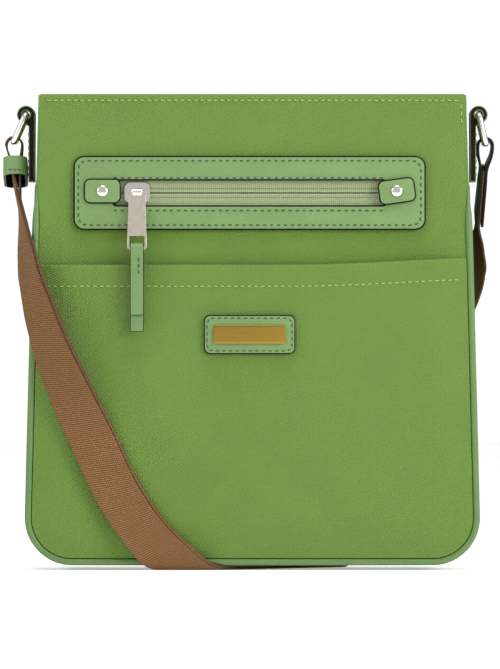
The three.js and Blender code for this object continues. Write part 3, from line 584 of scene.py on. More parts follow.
def flat_piece(name, outlines, low, high, edge, placed, materials):
    """A flat piece between two levels, cut to an outline with holes and placed by a function.
    Its faces take the first material, and its edges the second."""
    curve = bpy.data.curves.new(name, "CURVE")
    curve.dimensions, curve.fill_mode = "2D", "BOTH"
    curve.extrude, curve.bevel_depth, curve.offset = (high - low) / 2 - edge, edge, -edge
    curve.bevel_resolution = 2
    for outline in outlines:
        spline_made = curve.splines.new("POLY")
        spline_made.points.add(len(outline) - 1)
        for point, (x, z) in zip(spline_made.points, outline):
            point.co = (x, z, 0, 1)
        spline_made.use_cyclic_u = True
    piece = meshed(name, curve)
    faces_outwards(piece, 1e-6)
    for material in materials:
        piece.data.materials.append(material)
    for face in piece.data.polygons:
        face.material_index = 0 if abs(face.normal.z) > 0.97 else 1
    for v in piece.data.vertices:
        v.co = placed(v.co.x, v.co.y, v.co.z + (low + high) / 2)
    faces_outwards(piece)
    smooth_shaded(piece, 35)
    return piece


def on_front(x, z, n):
    """The place n off the front panel's face."""
    return Vector((x, -half_depth(z) - n, z))


POCKET_FACE = 0.0056  # how far the pocket's outside stands off the front panel's face


def on_pocket(x, z, n):
    """The place n off the pocket's outside."""
    return Vector((x, -half_depth(z) - POCKET_FACE - n, z))


def even(points, pitch):
    """Points spread evenly along a line, about pitch apart."""
    reach = [0.0]
    for a, b in zip(points, points[1:]):
        reach.append(reach[-1] + (b - a).length)
    count = max(1, round(reach[-1] / pitch))
    made, i = [], 0
    for k in range(count + 1):
        want = reach[-1] * k / count
        while i < len(points) - 2 and reach[i + 1] < want:
            i += 1
        span = reach[i + 1] - reach[i] or 1.0
        made.append(points[i].lerp(points[i + 1], (want - reach[i]) / span))
    return made


def bead(segments, rings):
    """The corners and faces of a small ball."""
    nothing_selected()
    bpy.ops.mesh.primitive_uv_sphere_add(segments=segments, ring_count=rings, radius=1)
    ball = bpy.context.object
    shape = [v.co.copy() for v in ball.data.vertices], [tuple(f.vertices) for f in ball.data.polygons]
    bpy.data.objects.remove(ball)
    return shape


STITCH_BEAD = bead(6, 5)
# A flat ball for the dark beads that paint the shade in each needle hole.
HOLE_SHADE_BEAD = bead(6, 4)


def beads(name, spots):
    """One mesh of many small balls, each (shape, place, long, side, up, material) with half axes."""
    corners, faces, kinds = [], [], []
    for (shape, sides), place, long, side, up, kind in spots:
        start = len(corners)
        corners += [place + c.z * long + c.x * side + c.y * up for c in shape]
        faces += [tuple(start + i for i in f) for f in sides]
        kinds += [kind] * len(sides)
    mesh = bpy.data.meshes.new(name)
    mesh.from_pydata(corners, [], faces)
    for face, kind in zip(mesh.polygons, kinds):
        face.material_index = kind
        face.use_smooth = True
    piece = linked(name, mesh)
    faces_outwards(piece)
    return piece


def sewing(lines, pitch, thread=0.00034, slant=0.0, cover=0.72):
    """The stitches along lines, each a list of points with the cloth's normal, with a flat dark bead of
    painted shade at each needle hole.
    """
    spots = []
    for points, normal in lines:
        ends = even(points, pitch)
        for a, b in zip(ends, ends[1:]):
            along = (b - a).normalized()
            side = normal.cross(along).normalized()
            along = (along + side * slant).normalized()
            half = (b - a).length * cover / 2
            start = a.lerp(b, 0.5 - cover / 2)
            spots.append((STITCH_BEAD, (a + b) / 2, along * half, side * thread, normal * thread, 0))
            spots.append((HOLE_SHADE_BEAD, start, along * 0.0004, side * thread * 1.1, normal * 0.0002, 1))
    return spots


def thread_material(name, colour):
    material, tree, shader = new_material(name, colour, 0.6, Sheen_Weight=0.2)
    at = surface_place(tree, "Object")
    dye = wired(tree, mottle, {"Vector": at, "Colour": linear(colour), "Size": 0.0008, "Amount": 0.5})
    tree.links.new(dye, shader.inputs["Base Color"])
    twist = wired(tree, weave, {"Vector": at, "Pitch": 0.0004, "Slant": 1.0})
    bumped(tree, shader, twist, 0.00003)
    return material


lime_thread = thread_material("lime_thread", "96a84e")
# Thread for the leather's stitches: its own dark green, made darker still as painted shade of the stitches
# sitting in their holes.
shade_darkened_thread = thread_material("green_thread_darkened_for_shade", "243d1a")
# Near-black green for the beads at the needle holes: painted shade in the holes.
hole_painted_shade = thread_material("hole_painted_shade", "1d2a14")
FRONT_NORMAL = Vector((0, -1, 0))


def sew(name, body, slot, thread, lines, *stitch):
    """Sews along lines, each a list of points with the cloth's normal, in one piece."""
    settle(beads(name, sewing(lines, *stitch)), body, slot, [thread, hole_painted_shade])



# Rim stitches: one row round each panel's top, a row down each side seam, and the pocket's hem.
RIM_STITCH_Z = 0.2585
CLOTH_STITCH, CLOTH_THREAD = 0.0037, 0.0003
SEWN_X = [x / 1000 for x in range(-114, 115, 2)]
lines = []
for side in (1, -1):
    out_y = Vector((0, -side * 0.0001, 0))
    row = [Vector((x, -side * half_depth(RIM_STITCH_Z), RIM_STITCH_Z)) + out_y for x in SEWN_X]
    lines.append((row, Vector((0, -side, 0.07))))
    seam = [Vector((seam_half(z / 1000) - 0.0025, -side * half_depth(z / 1000), z / 1000)) + out_y
            for z in range(245, 258, 2)]
    lines.append((seam, Vector((0, -side, 0.07))))
sew("rim_stitches", "bag", "nylon", lime_thread, lines, CLOTH_STITCH, CLOTH_THREAD)

HEM_DEPTH = 0.0105
hem = []
for x in SEWN_X:
    z = mouth_z(x) - HEM_DEPTH
    hem.append(Vector((x, -half_depth(POCKET_MOUTH - HEM_DEPTH) - pocket_face(x, z) - CLOTH / 2, z)))
sew("pocket_hem_stitches", "bag", "nylon", lime_thread, [(hem, FRONT_NORMAL)], CLOTH_STITCH, CLOTH_THREAD)

# Piping: a round leather cord sewn into both seams, from one side of the bag's top round its base
# to the other. It tapers to a point under each ring tab.
# The piping's leather is a darker copy of the trim's green: painted shade for the seam groove that the cord
# lies in.
piping_shaded_leather = leather_material("piping_shaded_leather", "4e6b34", 0.5)
for side, node in ((-1, "piping_front"), (1, "piping_back")):
    name = f"{node}_leather"
    curve = bpy.data.curves.new(name, "CURVE")
    curve.dimensions, curve.bevel_depth, curve.bevel_resolution = "3D", PIPE_R, 5
    path = [(x, z) for x, z in u_line(0.0) if z <= TRIM_TOP + 0.0006]
    cord = curve.splines.new("POLY")
    cord.points.add(len(path) - 1)
    for point, (x, z) in zip(cord.points, path):
        point.co = (x, side * (half_depth(z) - 0.0005), z, 1)
        point.radius = pipe_radius(z) / PIPE_R
    curve.use_fill_caps = True
    piece = meshed(name, curve)
    smooth_shaded(piece, 60)
    settle(piece, "bag", "leather", [piping_shaded_leather], node)

# ---- Name patch and plate ----
# A leather patch glued and sewn to the pocket, with a plain brushed brass plate on it.
PATCH_X, PATCH_Z = -0.0015, 0.1295
PATCH_WIDTH, PATCH_HEIGHT, PATCH_INSET = 0.0504, 0.0216, 0.0018
patch = flat_piece("name_patch_leather", [rounded(PATCH_X, PATCH_Z, PATCH_WIDTH, PATCH_HEIGHT, 0.0035)],
                   0.0003, 0.0017, 0.0007, on_pocket, [leather, rim_paint_and_shade])
settle(patch, "bag", "leather", [], "name_patch")


def metal_material(name, colour, roughness, brushed=(1.0, 1.0, 1.0)):
    """Metal whose fine marks are stretched where brushed is below 1."""
    material, tree, shader = new_material(name, colour, roughness, Metallic=1.0)
    at = surface_place(tree, "Object")
    stretch = add_node(tree, "Mapping", {"Vector": at, "Scale": brushed})
    lines_made = add_node(tree, "TexNoise", {"Vector": stretch.outputs[0], "Scale": 900.0, "Detail": 3.0})
    rough = add_node(tree, "MapRange",
                     {"Value": lines_made.outputs["Fac"], 3: roughness - 0.07, 4: roughness + 0.1})
    tree.links.new(rough.outputs[0], shader.inputs["Roughness"])
    tone = wired(tree, mottle, {"Vector": at, "Colour": linear(colour), "Size": 0.006, "Amount": 0.05})
    tree.links.new(tone, shader.inputs["Base Color"])
    bumped(tree, shader, lines_made.outputs["Fac"], 0.00001)
    return material


brass = metal_material("brushed_brass", "967a36", 0.3, (0.06, 1.0, 1.0))
nickel = metal_material("polished_nickel", "e2ddd6", 0.14)
tag_nickel = metal_material("brushed_nickel", "d8cebf", 0.28, (1.0, 1.0, 0.08))
plate = flat_piece("name_plate_brass", [rounded(PATCH_X, PATCH_Z, 0.0397, 0.0102, 0.0012)],
                   0.002, 0.003, 0.00025, on_pocket, [brass, brass])
settle(plate, "bag", "brass", [], "name_plate")
sewn_at = rounded(PATCH_X, PATCH_Z, PATCH_WIDTH - 2 * PATCH_INSET, PATCH_HEIGHT - 2 * PATCH_INSET, 0.002)
ring = [on_pocket(x, z, 0.00172) for x, z in sewn_at]
SMALL_STITCH = (0.0036, 0.00042, 0.12, 0.5)  # pitch, half width of thread, slant, share that thread covers
sew("name_patch_stitches", "bag", "leather", shade_darkened_thread, [(ring + ring[:1], FRONT_NORMAL)], *SMALL_STITCH)

# ---- Front zip ----
# A leather frame with a slot is sewn on the front. The zip's tapes are sewn behind it, a leather
# tab and a domed rivet hold each end, and the puller is a nickel tag with a leather thong.
frame_piece = flat_piece(
    "zip_frame_leather",
    [rounded(FRAME_X, FRAME_Z, 0.194, 0.041, 0.006), rounded(FRAME_X, FRAME_Z, 0.150, 0.0135, 0.002)],
    0.0003, 0.0021, 0.0009, on_front, [leather, rim_paint_and_shade])
settle(frame_piece, "bag", "leather", [], "front_zip_plaque")
slope = Vector((0, -1, -0.067)).normalized()
FRAME_FACE = 0.00212
ring = [on_front(x, z, FRAME_FACE) for x, z in rounded(FRAME_X, FRAME_Z, 0.1885, 0.0355, 0.0035)]
rows = [(ring + ring[:1], slope)]
for z in (0.2157, 0.1977):
    rows.append(([on_front(x / 1000, z, FRAME_FACE) for x in range(-77, 75, 2)], slope))
sew("zip_frame_stitches", "bag", "leather", shade_darkened_thread, rows, 0.0038, 0.0005, 0.12, 0.42)

for x, turn, name in ((-0.0825, 0.0, "left"), (0.0795, math.radians(8), "right")):
    tab = flat_piece(f"zip_end_{name}_leather", [rounded(x, 0.2084, 0.0205, 0.0138, 0.0036, turn)],
                     0.0022, 0.0038, 0.00079, on_front, [leather, rim_paint_and_shade])
    settle(tab, "bag", "leather", [], f"zip_end_tab_{name}")

tape_cloth = cloth_material("zip_tape", "828e67", 0.75, 0.0011, 0.0, 0.00008, 0.12, Sheen_Weight=0.15)
coil_nylon = thread_material("zip_coil", "7f8d66")
TAPE = 0.0006
TOOTH_PITCH, TOOTH_WIDE, TOOTH_HIGH = 1.3, 0.00042, 0.0006  # the pitch in millimetres


def tape_piece(node, rows):
    piece = sheet_through(f"{node}_cloth", rows)
    thicken(piece, TAPE)
    settle(piece, "bag", "zip_tape", [tape_cloth, tape_cloth], node)


for sign, name in ((1, "upper"), (-1, "lower")):
    rows = [[on_front(x / 1000, FRAME_Z + sign * n / 1000, -0.0016) for n in (0.35, 2, 4, 6, 8, 10)]
            for x in range(-75, 74, 2)]
    tape_piece(f"front_zip_tape_{name}", rows)
    teeth = [(STITCH_BEAD, on_front(x / 1000, FRAME_Z + sign * 0.0013, -0.0028), Vector((0, 0, 0.0014)),
              Vector((TOOTH_WIDE, 0, 0)), Vector((0, TOOTH_HIGH, 0)), 0)
             for x in [-75 + TOOTH_PITCH * k for k in range(114)]]
    coil = beads(f"front_zip_coil_{name}_teeth", teeth)
    settle(coil, "bag", "zip_tape", [coil_nylon], f"front_zip_coil_{name}")
rows = [([on_front(x / 1000, FRAME_Z + dz, -0.0012) for x in range(-73, 72, 2)], slope)
        for dz in (0.0024, -0.0024)]
tape_thread = thread_material("tape_thread", "5f6b49")
sew("front_zip_tape_stitches", "bag", "zip_tape", tape_thread, rows, 0.0019, 0.0002, 1.6, 0.8)


def finished_copy(name, node, material, edge, body, slot, subdivide=0, degrees=50):
    """A CAD node's shape with its edges rounded and its surface smooth."""
    piece = linked(name, bpy.data.objects[node].data.copy())
    piece.data.materials.clear()
    select_only(piece)
    bpy.ops.object.mode_set(mode="EDIT")
    bpy.ops.mesh.select_all(action="SELECT")
    bpy.ops.mesh.remove_doubles(threshold=1e-6)
    bpy.ops.mesh.dissolve_limited(angle_limit=math.radians(1))
    bpy.ops.object.mode_set(mode="OBJECT")
    if edge:
        apply_modifier(piece, "BEVEL", width=edge, segments=2, limit_method="ANGLE",
                       angle_limit=math.radians(35), harden_normals=True)
    if subdivide:
        apply_modifier(piece, "SUBSURF", levels=subdivide, render_levels=subdivide)
    smooth_shaded(piece, degrees)
    if edge:
        apply_modifier(piece, "WEIGHTED_NORMAL", keep_sharp=True)
    settle(piece, body, slot, [material], node)
    return piece


for side in ("left", "right"):
    finished_copy(f"rivet_{side}_dome", f"rivet_{side}", nickel, 0, "bag", "nickel", 2, 60)
finished_copy("front_zip_slider_nickel", "front_zip_slider", nickel, 0.00025, "front_slider", "nickel")
finished_copy("front_pull_tag_nickel", "front_pull_tag", tag_nickel, 0.0003, "front_pull", "nickel")


def spline(points, count):
    """Places and directions along a smooth line through points, count to each stretch."""
    ends = [2 * points[0] - points[1], *points, 2 * points[-1] - points[-2]]
    made = []
    for i in range(len(points) - 1):
        a, b, c, d = ends[i : i + 4]
        ab, bc, cd = [math.sqrt((q - p).length) for p, q in ((a, b), (b, c), (c, d))]
        t1 = ((b - a) / ab - (c - a) / (ab + bc) + (c - b) / bc) * bc
        t2 = ((c - b) / bc - (d - b) / (bc + cd) + (d - c) / cd) * bc
        for k in range(count + (i == len(points) - 2)):
            s = k / count
            place = (2 * s**3 - 3 * s**2 + 1) * b + (s**3 - 2 * s**2 + s) * t1
            place += (3 * s**2 - 2 * s**3) * c + (s**3 - s**2) * t2
            way = (6 * s**2 - 6 * s) * (b - c) + (3 * s**2 - 4 * s + 1) * t1 + (3 * s**2 - 2 * s) * t2
            made.append((place, way.normalized(), i + s))
    return made


def ribbon_rows(path, across_at, width, columns=8, offset=0.0, crown=0.0):
    """Rows of points across a ribbon that follows a path, moved off it and crowned by a little."""
    rows = []
    for place, way, at in path:
        across = across_at(place, at)
        across = (across - way * across.dot(way)).normalized()
        normal = way.cross(across)
        rows.append([place + across * width * (k / columns - 0.5)
                     + normal * (offset - crown * (2 * k / columns - 1) ** 2) for k in range(columns + 1)])
    return rows


THONG_X, THONG_WIDTH, THONG_THICK = -0.0634, 0.0075, 0.0015
thong_path = [Vector((THONG_X, y / 1000, z / 1000)) for y, z in (
    (-40.65, 131), (-40.65, 145), (-40.65, 160), (-39.6, 168), (-37.4, 173.5), (-37.11, 176.62),
    (-37.8, 178.28), (-39.46, 178.97), (-41.12, 178.28), (-41.81, 176.62), (-42.3, 170), (-42.45, 160),
    (-42.45, 150), (-42.45, 140))]
thong = sheet_through("front_pull_thong_leather", ribbon_rows(
    spline(thong_path, 8), lambda place, at: Vector((1, 0, 0)), THONG_WIDTH, 6))
thicken(thong, THONG_THICK, 0.00035)
thong_leather = leather_material("thong_leather", "5a7542", 0.5)
settle(thong, "front_thong", "leather", [thong_leather, rim_paint_and_shade], "front_pull_thong")
row = [Vector((THONG_X + 0.001, -0.0432, z / 1000)) for z in range(172, 161, -1)]
sew("front_pull_thong_stitches", "front_thong", "leather", shade_darkened_thread, [(row, FRONT_NORMAL)],
    0.0029, 0.00055, 0.3, 0.42)

# ---- Inside ----
# A cloth lining hangs in the bag, with a zip pouch behind the front and a flat pocket on the back.
# A board stiffens the base.
lining_cloth = cloth_material("lining_cloth", "a89a7c", 0.8, 0.0005, 0.0, 0.00005, 0.14)
AROUND = 96
TUB_BASE, TUB_GAP = 0.0085, -0.0031


def hanging_bag(name, left, right, front, back, heights, closed, seed):
    """A cloth tub from its sides at each height; closed also shuts its top."""
    rows = []
    for i, z in enumerate(heights):
        x0, x1, y0, y1 = left(z), right(z), front(z), back(z)
        if i == 0 or (closed and i == len(heights) - 1):
            y0 = y1 = (y0 + y1) / 2
        outline = rounded((x0 + x1) / 2, (y0 + y1) / 2, x1 - x0, max(y1 - y0, 0.00004), 0.008)
        whole = even([Vector((x, y, z)) for x, y in [*outline, outline[0]]], 1e-4)
        fine = [whole[round(k * (len(whole) - 1) / AROUND)] for k in range(AROUND + 1)]
        for p in fine:
            wave = 0.0007 * ripple(p.x, z, seed, 0.03) + 0.0003 * ripple(p.x, z, seed + 1, 0.011)
            p.y += wave - 0.0007 if p.y > (y0 + y1) / 2 else 0.0007 + wave
        rows.append(fine)
    piece = sheet_through(name, rows)
    faces_outwards(piece, 0.0001)
    smooth_shaded(piece)
    return piece


tub = hanging_bag(
    "lining_cloth_tub", lambda z: -seam_half(max(z, TUB_BASE), TUB_GAP),
    lambda z: seam_half(max(z, TUB_BASE), TUB_GAP), lambda z: 0.0108 - half_depth(z),
    lambda z: half_depth(z) - 0.0018,
    [0.0074, 0.0078, 0.011, 0.017, *[0.024 + 0.0109 * k for k in range(20)], 0.2418], False, 71.0)
apply_modifier(tub, "SOLIDIFY", thickness=0.0006, offset=-1.0)
settle(tub, "bag", "lining_cloth", [lining_cloth], "lining")
pouch = hanging_bag(
    "front_zip_pouch_cloth", lambda z: -0.0833, lambda z: 0.0803, lambda z: 0.0029 - half_depth(z),
    lambda z: 0.0099 - half_depth(z),
    [0.1122, 0.1135, *[0.116 + 0.008 * k for k in range(13)], 0.2205, 0.2218], True, 81.0)
settle(pouch, "bag", "lining_cloth", [lining_cloth], "front_zip_pouch")
INNER_BASE, INNER_HEIGHT, INNER_Y = 0.0404, 0.1092, 0.0262
rows = []
for k in range(29):
    z = INNER_BASE + INNER_HEIGHT * k / 28
    row = []
    for x in range(-64, 65, 4):
        wave = abs(ripple(x / 1000, z, 91.0, 0.03))
        row.append(Vector((x / 1000, INNER_Y - 0.0016 * wave - 0.0008 * smooth(z / 0.15), z)))
    rows.append(row)
inner = sheet_through("inner_pocket_cloth", rows)
thicken(inner, 0.0008)
settle(inner, "bag", "lining_cloth", [lining_cloth, lining_cloth], "inner_pocket")
board_cloth = cloth_material("base_board_cloth", "6f6450", 0.85, 0.0009, 0.3, 0.00006, 0.1)
board = bpy.data.objects["base_board"].data
board.materials.clear()
board.materials.append(board_cloth)

# ---- Top zip ----
# The zip is set below the rim on nylon facings that slope down from both panels. Its tapes bow
# apart in the middle, and its slider stands at the left end.
def zip_gap(x):
    return 0.0013 + 0.010 * max(0.0, 1 - (x / 0.105) ** 2)


for side, name in ((-1, "front"), (1, "back")):
    rows = []
    for k in range(-57, 58):
        x = k / 500
        row = []
        for j in range(9):
            v = j / 8
            soft = 0.0005 * ripple(x, v, 61.0 + side, 0.02) * math.sin(math.pi * v)
            y = side * lerp(zip_gap(x) + 0.0072, 0.023, v)
            row.append(Vector((x, y, lerp(0.2476, 0.2583, v) - 0.0004 + soft)))
        rows.append(row)
    nylon_piece(f"top_facing_{name}_nylon", rows, f"top_facing_{name}")
    rows = [[Vector((k / 500, side * (zip_gap(k / 500) + n), 0.2463))
             for n in (0.0004, 0.003, 0.0065, 0.0098)] for k in range(-55, 56)]
    tape_piece(f"top_zip_tape_{name}", rows)
    teeth = [(STITCH_BEAD, Vector((x / 1000, side * (zip_gap(x / 1000) + 0.0011), 0.2476)),
              Vector((0, 0.0011, 0)), Vector((TOOTH_WIDE, 0, 0)), Vector((0, 0, TOOTH_HIGH)), 0)
             for x in [-104.5 + TOOTH_PITCH * k for k in range(161)]]
    coil = beads(f"top_zip_coil_{name}_teeth", teeth)
    settle(coil, "bag", "zip_tape", [coil_nylon], f"top_zip_coil_{name}")
finished_copy("top_zip_slider_nickel", "top_zip_slider", nickel, 0.00025, "top_slider", "nickel")
finished_copy("top_pull_tag_nickel", "top_pull_tag", tag_nickel, 0.0003, "top_pull", "nickel")

# ---- Ring tabs and rings ----
# A doubled leather strip is sewn up each side of the bag. It folds round the top of a nickel ring,
# and its painted edges face front and back.
TAB_IN, TAB_OUT, TAB_LOW, TAB_HALF = 0.1202, 0.1236, 0.2138, 0.012
LOOP_X, LOOP_Z, LOOP_R, BORE_R = 0.125, 0.2509, 0.005, 0.0023


def arc(x, z, radius, degrees):
    """Points of an arc about (x, z), one for each of the angles."""
    return [(x + radius * math.cos(math.radians(a)), z + radius * math.sin(math.radians(a))) for a in degrees]


for side, name in ((-1, "left"), (1, "right")):
    outline = [(TAB_IN, TAB_LOW), (TAB_OUT, TAB_LOW), (TAB_OUT, 0.2445)]
    outline += arc(LOOP_X, LOOP_Z, LOOP_R, range(-80, 171, 10))
    bore = arc(LOOP_X, LOOP_Z, BORE_R, range(0, 360, 18))
    outline = [(side * x, z) for x, z in outline]
    bore = [(side * x, z) for x, z in bore]
    tab = flat_piece(f"ring_tab_{name}_leather", [outline, bore], -TAB_HALF, TAB_HALF, 0.0005,
                     lambda x, z, n: Vector((x, -n, z)), [rim_paint_and_shade, leather])
    settle(tab, "bag", "leather", [], f"ring_tab_{name}")
    rows = [([Vector((side * 0.12355, y, z / 1000)) for z in range(216, 244, 2)], Vector((side, 0, 0)))
            for y in (-0.0095, 0.0095)]
    sew(f"ring_tab_{name}_stitches", "bag", "leather", shade_darkened_thread, rows, *SMALL_STITCH)
    finished_copy(f"ring_{name}_nickel", f"ring_{name}", nickel, 0, f"{name}_ring", "nickel", 1, 75)

# ---- Strap ----
# Brown cotton webbing, 24 mm wide and 1 mm thick, with slanting ribs. It is doubled over the left
# ring and wrapped down the front, under the bag and up the back to the adjuster and the right ring.
STRAP_WIDTH, WEB, LAYER = 0.024, 0.001, 0.000625
FRONT_Y, BACK_Y, FLOOR_Z, STRAP_TOP = -0.039325, 0.034425, 0.001125, 0.070
FRONT_BEND, BACK_BEND = 0.009, 0.004
FRONT_DOWN = STRAP_TOP - FRONT_BEND - FLOOR_Z
T_UNDER = FRONT_DOWN + FRONT_BEND * math.pi / 2
T_BACK = T_UNDER + BACK_Y - BACK_BEND - FRONT_Y - FRONT_BEND
T_UP = T_BACK + BACK_BEND * math.pi / 2
T_MIDDLE = T_UNDER - FRONT_Y - FRONT_BEND
LEAN = math.radians(24)
BACK_START = 0.028
WEB_COLUMNS = 12
LEFT_BAR_Z, LEFT_LEAN = 235.83, -0.0079  # millimetres, as are the hung routes below
RIGHT_BAR_Z, RIGHT_LEAN = 234.82, 0.006


def fold_point(x, t, offset):
    """The place at x and t along the way down the front, under the bag and up the back."""
    if t < FRONT_DOWN:
        return Vector((x, FRONT_Y - offset, STRAP_TOP - t))
    if t < T_UNDER:
        a, r = (t - FRONT_DOWN) / FRONT_BEND, FRONT_BEND + offset
        return Vector((x, FRONT_Y + FRONT_BEND - r * math.cos(a), FLOOR_Z + FRONT_BEND - r * math.sin(a)))
    if t < T_BACK:
        return Vector((x, FRONT_Y + FRONT_BEND + t - T_UNDER, FLOOR_Z - offset))
    if t < T_UP:
        a, r = (t - T_BACK) / BACK_BEND, BACK_BEND + offset
        return Vector((x, BACK_Y - BACK_BEND + r * math.sin(a), FLOOR_Z + BACK_BEND - r * math.cos(a)))
    return Vector((x, BACK_Y + offset, FLOOR_Z + BACK_BEND + t - T_UP))


def back_x(z):
    return 0.0587 + (z - BACK_START) * math.tan(LEAN)


def back_t(z):
    return T_UP + z - FLOOR_Z - BACK_BEND


layout = [(-0.096, -0.018), (-0.0875, 0), (-0.073, 0.030), (-0.056, 0.054), (-0.028, T_MIDDLE - 0.025),
          (0, T_MIDDLE), (0.025, T_MIDDLE + 0.023), (0.041, T_UP)]
layout += [(back_x(z), back_t(z)) for z in (BACK_START, 0.0571, 0.09105, 0.125)]
layout = spline([Vector((x, t, 0)) for x, t in layout], 16)


def lying_rows(from_t, to_t, offset):
    """Rows across one layer of the strap where it lies on the bag, between two values of t."""
    rows = []
    for place, way, _ in layout:
        if from_t <= place.y <= to_t:
            row = []
            for k in range(WEB_COLUMNS + 1):
                w = k / WEB_COLUMNS - 0.5
                x, t = place.x + w * STRAP_WIDTH * way.y, place.y - w * STRAP_WIDTH * way.x
                row.append(fold_point(x, t, offset))
            rows.append(row)
    return rows


def turning(line, side):
    """The way across a strap that turns by the angle in the last column of its route."""
    def across(place, at):
        i = min(len(line) - 2, int(at))
        a = math.radians(lerp(line[i][3], line[i + 1][3], at - i))
        return Vector((side * math.cos(a), -side * math.sin(a), 0))
    return across


def spots_of(line):
    return [Vector((x, y, z)) / 1000 for x, y, z, _ in line]


def hung_path(path, bar_z, lean):
    """The points (x, z) of what hangs on a ring, leaning more the further it is below the bar."""
    return [Vector((x, lean * max(0, bar_z - z) ** 2, z)) / 1000 for x, z in path]


def leaning(bar_z, lean):
    """The way across what hangs on a ring."""
    return lambda place, at: Vector((0, -1, -2 * lean * max(0, bar_z - place.z * 1000)))


drop_line = [
    (-128.75, -8.8, 202.6, 90), (-127.2, -16, 190, 82), (-125.4, -24.1, 176, 73), (-122.7, -33.1, 162, 64),
    (-119, -38.4, 148, 54), (-115.3, -42, 136, 45), (-109.8, -43.5, 120, 33), (-103.6, -42.8, 105, 22),
    (-96, -41, 88, 11), (-87.5, -39.325, 70, 0), (-73, -39.325, 40, 0)]
drop_path = [p for p in spline(spots_of(drop_line), 8) if p[2] <= 9]
drops = [ribbon_rows(drop_path, turning(drop_line, 1), STRAP_WIDTH, WEB_COLUMNS, offset)
         for offset in (LAYER, -LAYER)]
PEEP = 0.0016  # how far the inner layer shows beside the outer one on the front


def moved_across(rows, share):
    """Rows moved along their width, each by its share of the inner layer's shift."""
    for i, row in enumerate(rows):
        shift = (row[-1] - row[0]).normalized() * PEEP * share(i / (len(rows) - 1))
        for point in row:
            point += shift
    return rows


OVER_BAR = range(180, -1, -30)
wrap = [(-129.4, 204.5), (-131.4, 213), (-132.8, 219), (-133.7, 225), (-135.3, 230.5),
        *arc(-131.71, 234.23, 4.4, OVER_BAR), (-127.6, 230), (-128.3, 224), (-128.4, 215), (-128.15, 204.5)]
loop_path = spline(hung_path(wrap, LEFT_BAR_Z, LEFT_LEAN), 4)
loop_rows = ribbon_rows(loop_path, leaning(LEFT_BAR_Z, LEFT_LEAN), STRAP_WIDTH, WEB_COLUMNS)

webbing = cloth_material("brown_webbing", "8c643c", 0.75, 0.0012, 0.3, 0.0006, 0.14, 0.5,
                         Specular_IOR_Level=0.2)
web_edge = cloth_material("webbing_edge", "4a3018", 0.8, 0.0008, 0.0, 0.0001, 0.2)


def strap_piece(name, rows):
    piece = sheet_through(name, rows)
    thicken(piece, WEB, 0.0002)
    dress(piece, [webbing, web_edge])
    return piece


left = strap_piece("strap_left_webbing", [
    *reversed(lying_rows(0.0012, T_MIDDLE, LAYER)), *reversed(drops[0]), *loop_rows[1:-1],
    *moved_across(drops[1], lambda v: smooth(2 * v)),
    *moved_across(lying_rows(0.0012, T_MIDDLE, -LAYER), lambda v: smooth(2.5 * (1 - v)))])
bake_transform(left)
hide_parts("strap_front_outer", "strap_front_inner", "strap_drop_outer", "strap_drop_inner",
            "strap_loop_left", "strap_under_inner")

rise_line = [
    (125.5, 11.2, 191.6, 90), (126, 17.8, 181, 80), (124.9, 28.4, 170, 68), (121.2, 36.4, 158, 54),
    (115.6, 40.2, 147, 38), (109, 39.2, 136, 20), (back_x(0.125) * 1000, 35.05, 125, 0),
    (back_x(0.1) * 1000, 35.05, 100, 0)]
rise_path = [p for p in spline(spots_of(rise_line), 8) if p[2] <= 5.9]
end_line = [(lerp(125.5, 127.9, k / 4), lerp(193.6, 222, k / 4)) for k in range(5)]
end_path = spline(hung_path(end_line, RIGHT_BAR_Z, RIGHT_LEAN), 6)
end_rows = ribbon_rows(end_path, leaning(RIGHT_BAR_Z, RIGHT_LEAN), STRAP_WIDTH - 0.001, WEB_COLUMNS)
rise_rows = ribbon_rows(rise_path, turning(rise_line, -1), STRAP_WIDTH, WEB_COLUMNS)
right = strap_piece("strap_right_webbing", [
    *lying_rows(T_MIDDLE + 0.0003, back_t(0.1245), LAYER),
    *[row[::-1] for row in reversed(rise_rows)], *end_rows])
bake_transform(right)
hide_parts("strap_under_outer", "strap_back_outer", "strap_rise", "strap_end_webbing")
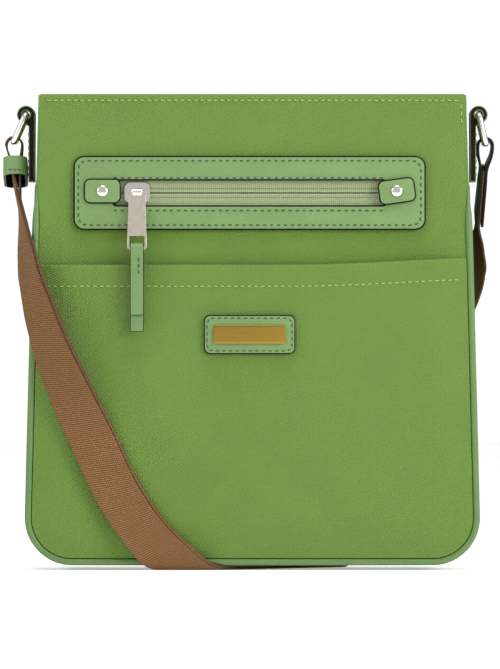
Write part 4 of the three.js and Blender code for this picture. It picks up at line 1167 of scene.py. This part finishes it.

# The inner layer on the back ends on the adjuster, in a lower part and an upper part that both ride on the
# bag.
TAIL_SPLIT, TAIL_TOP = 0.045, 0.111
tail = strap_piece("strap_tail_lower_webbing", lying_rows(T_MIDDLE + 0.0003, back_t(TAIL_SPLIT), -LAYER))
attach(tail, "bag")
tail_rows = lying_rows(back_t(TAIL_SPLIT) + 0.0003, back_t(TAIL_TOP), -LAYER)
tail_end = strap_piece("strap_tail_upper_webbing", tail_rows)
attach(tail_end, "bag")
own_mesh(tail_end)
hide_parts("strap_back_inner")

# Keeper: a leather band, closed at the back, that holds both layers together below the left ring.
KEEPER_TILT = -0.258
KEEPER_MIDDLE = Vector((-0.1309, -0.0021, 0.2195))
KEEPER_HALF = 0.00525


def at_keeper(x, y, n):
    """A place in the keeper, n above its middle."""
    return Matrix.Rotation(KEEPER_TILT, 3, "X") @ Vector((x, y, n)) + KEEPER_MIDDLE


keeper = flat_piece(
    "strap_keeper_leather", [rounded(0, 0, 0.0134, 0.030, 0.0055), rounded(0, 0, 0.0104, 0.027, 0.004)],
    -KEEPER_HALF, KEEPER_HALF, 0.0004, at_keeper, [rim_paint_and_shade, leather])
# The band's inner faces take the dark paint as well: painted shade inside the band's opening.
for face in keeper.data.polygons:
    if face.normal.dot(face.center - at_keeper(0, 0, 0)) < 0:
        face.material_index = 0
settle(keeper, "keeper", "leather", [], "strap_keeper")
rows = [([at_keeper(x / 1000, -0.01505, -0.0030) for x in (-3.6, 0, 3.6)], FRONT_NORMAL)]
sew("strap_keeper_stitches", "keeper", "leather", shade_darkened_thread, rows, 0.0024, 0.0004, 0.1, 0.5)

# End tab: leather folded over the right ring and sewn to both sides of the webbing's end.
LEG = 1.6  # half the distance between the tab's two legs, in millimetres
END_THICK = 0.0016
tab_line = [*[(x - LEG, z) for x, z in end_line], (124.8, 229), *arc(128.71, 233.92, 4, OVER_BAR),
            (132.1, 229), *[(x + LEG, z) for x, z in reversed(end_line)]]
tab_path = spline(hung_path(tab_line, RIGHT_BAR_Z, RIGHT_LEAN), 4)
end_tab = sheet_through("strap_end_tab_leather", ribbon_rows(
    tab_path, leaning(RIGHT_BAR_Z, RIGHT_LEAN), STRAP_WIDTH, 10))
thicken(end_tab, END_THICK, 0.0004)
settle(end_tab, "right_ring", "leather", [leather, rim_paint_and_shade], "strap_end_tab")

# Slide adjuster: a nickel frame that the outer layer runs through and the inner layer ends on.
finished_copy("slide_adjuster_nickel", "slide_adjuster", nickel, 0.0003, "adjuster", "nickel")
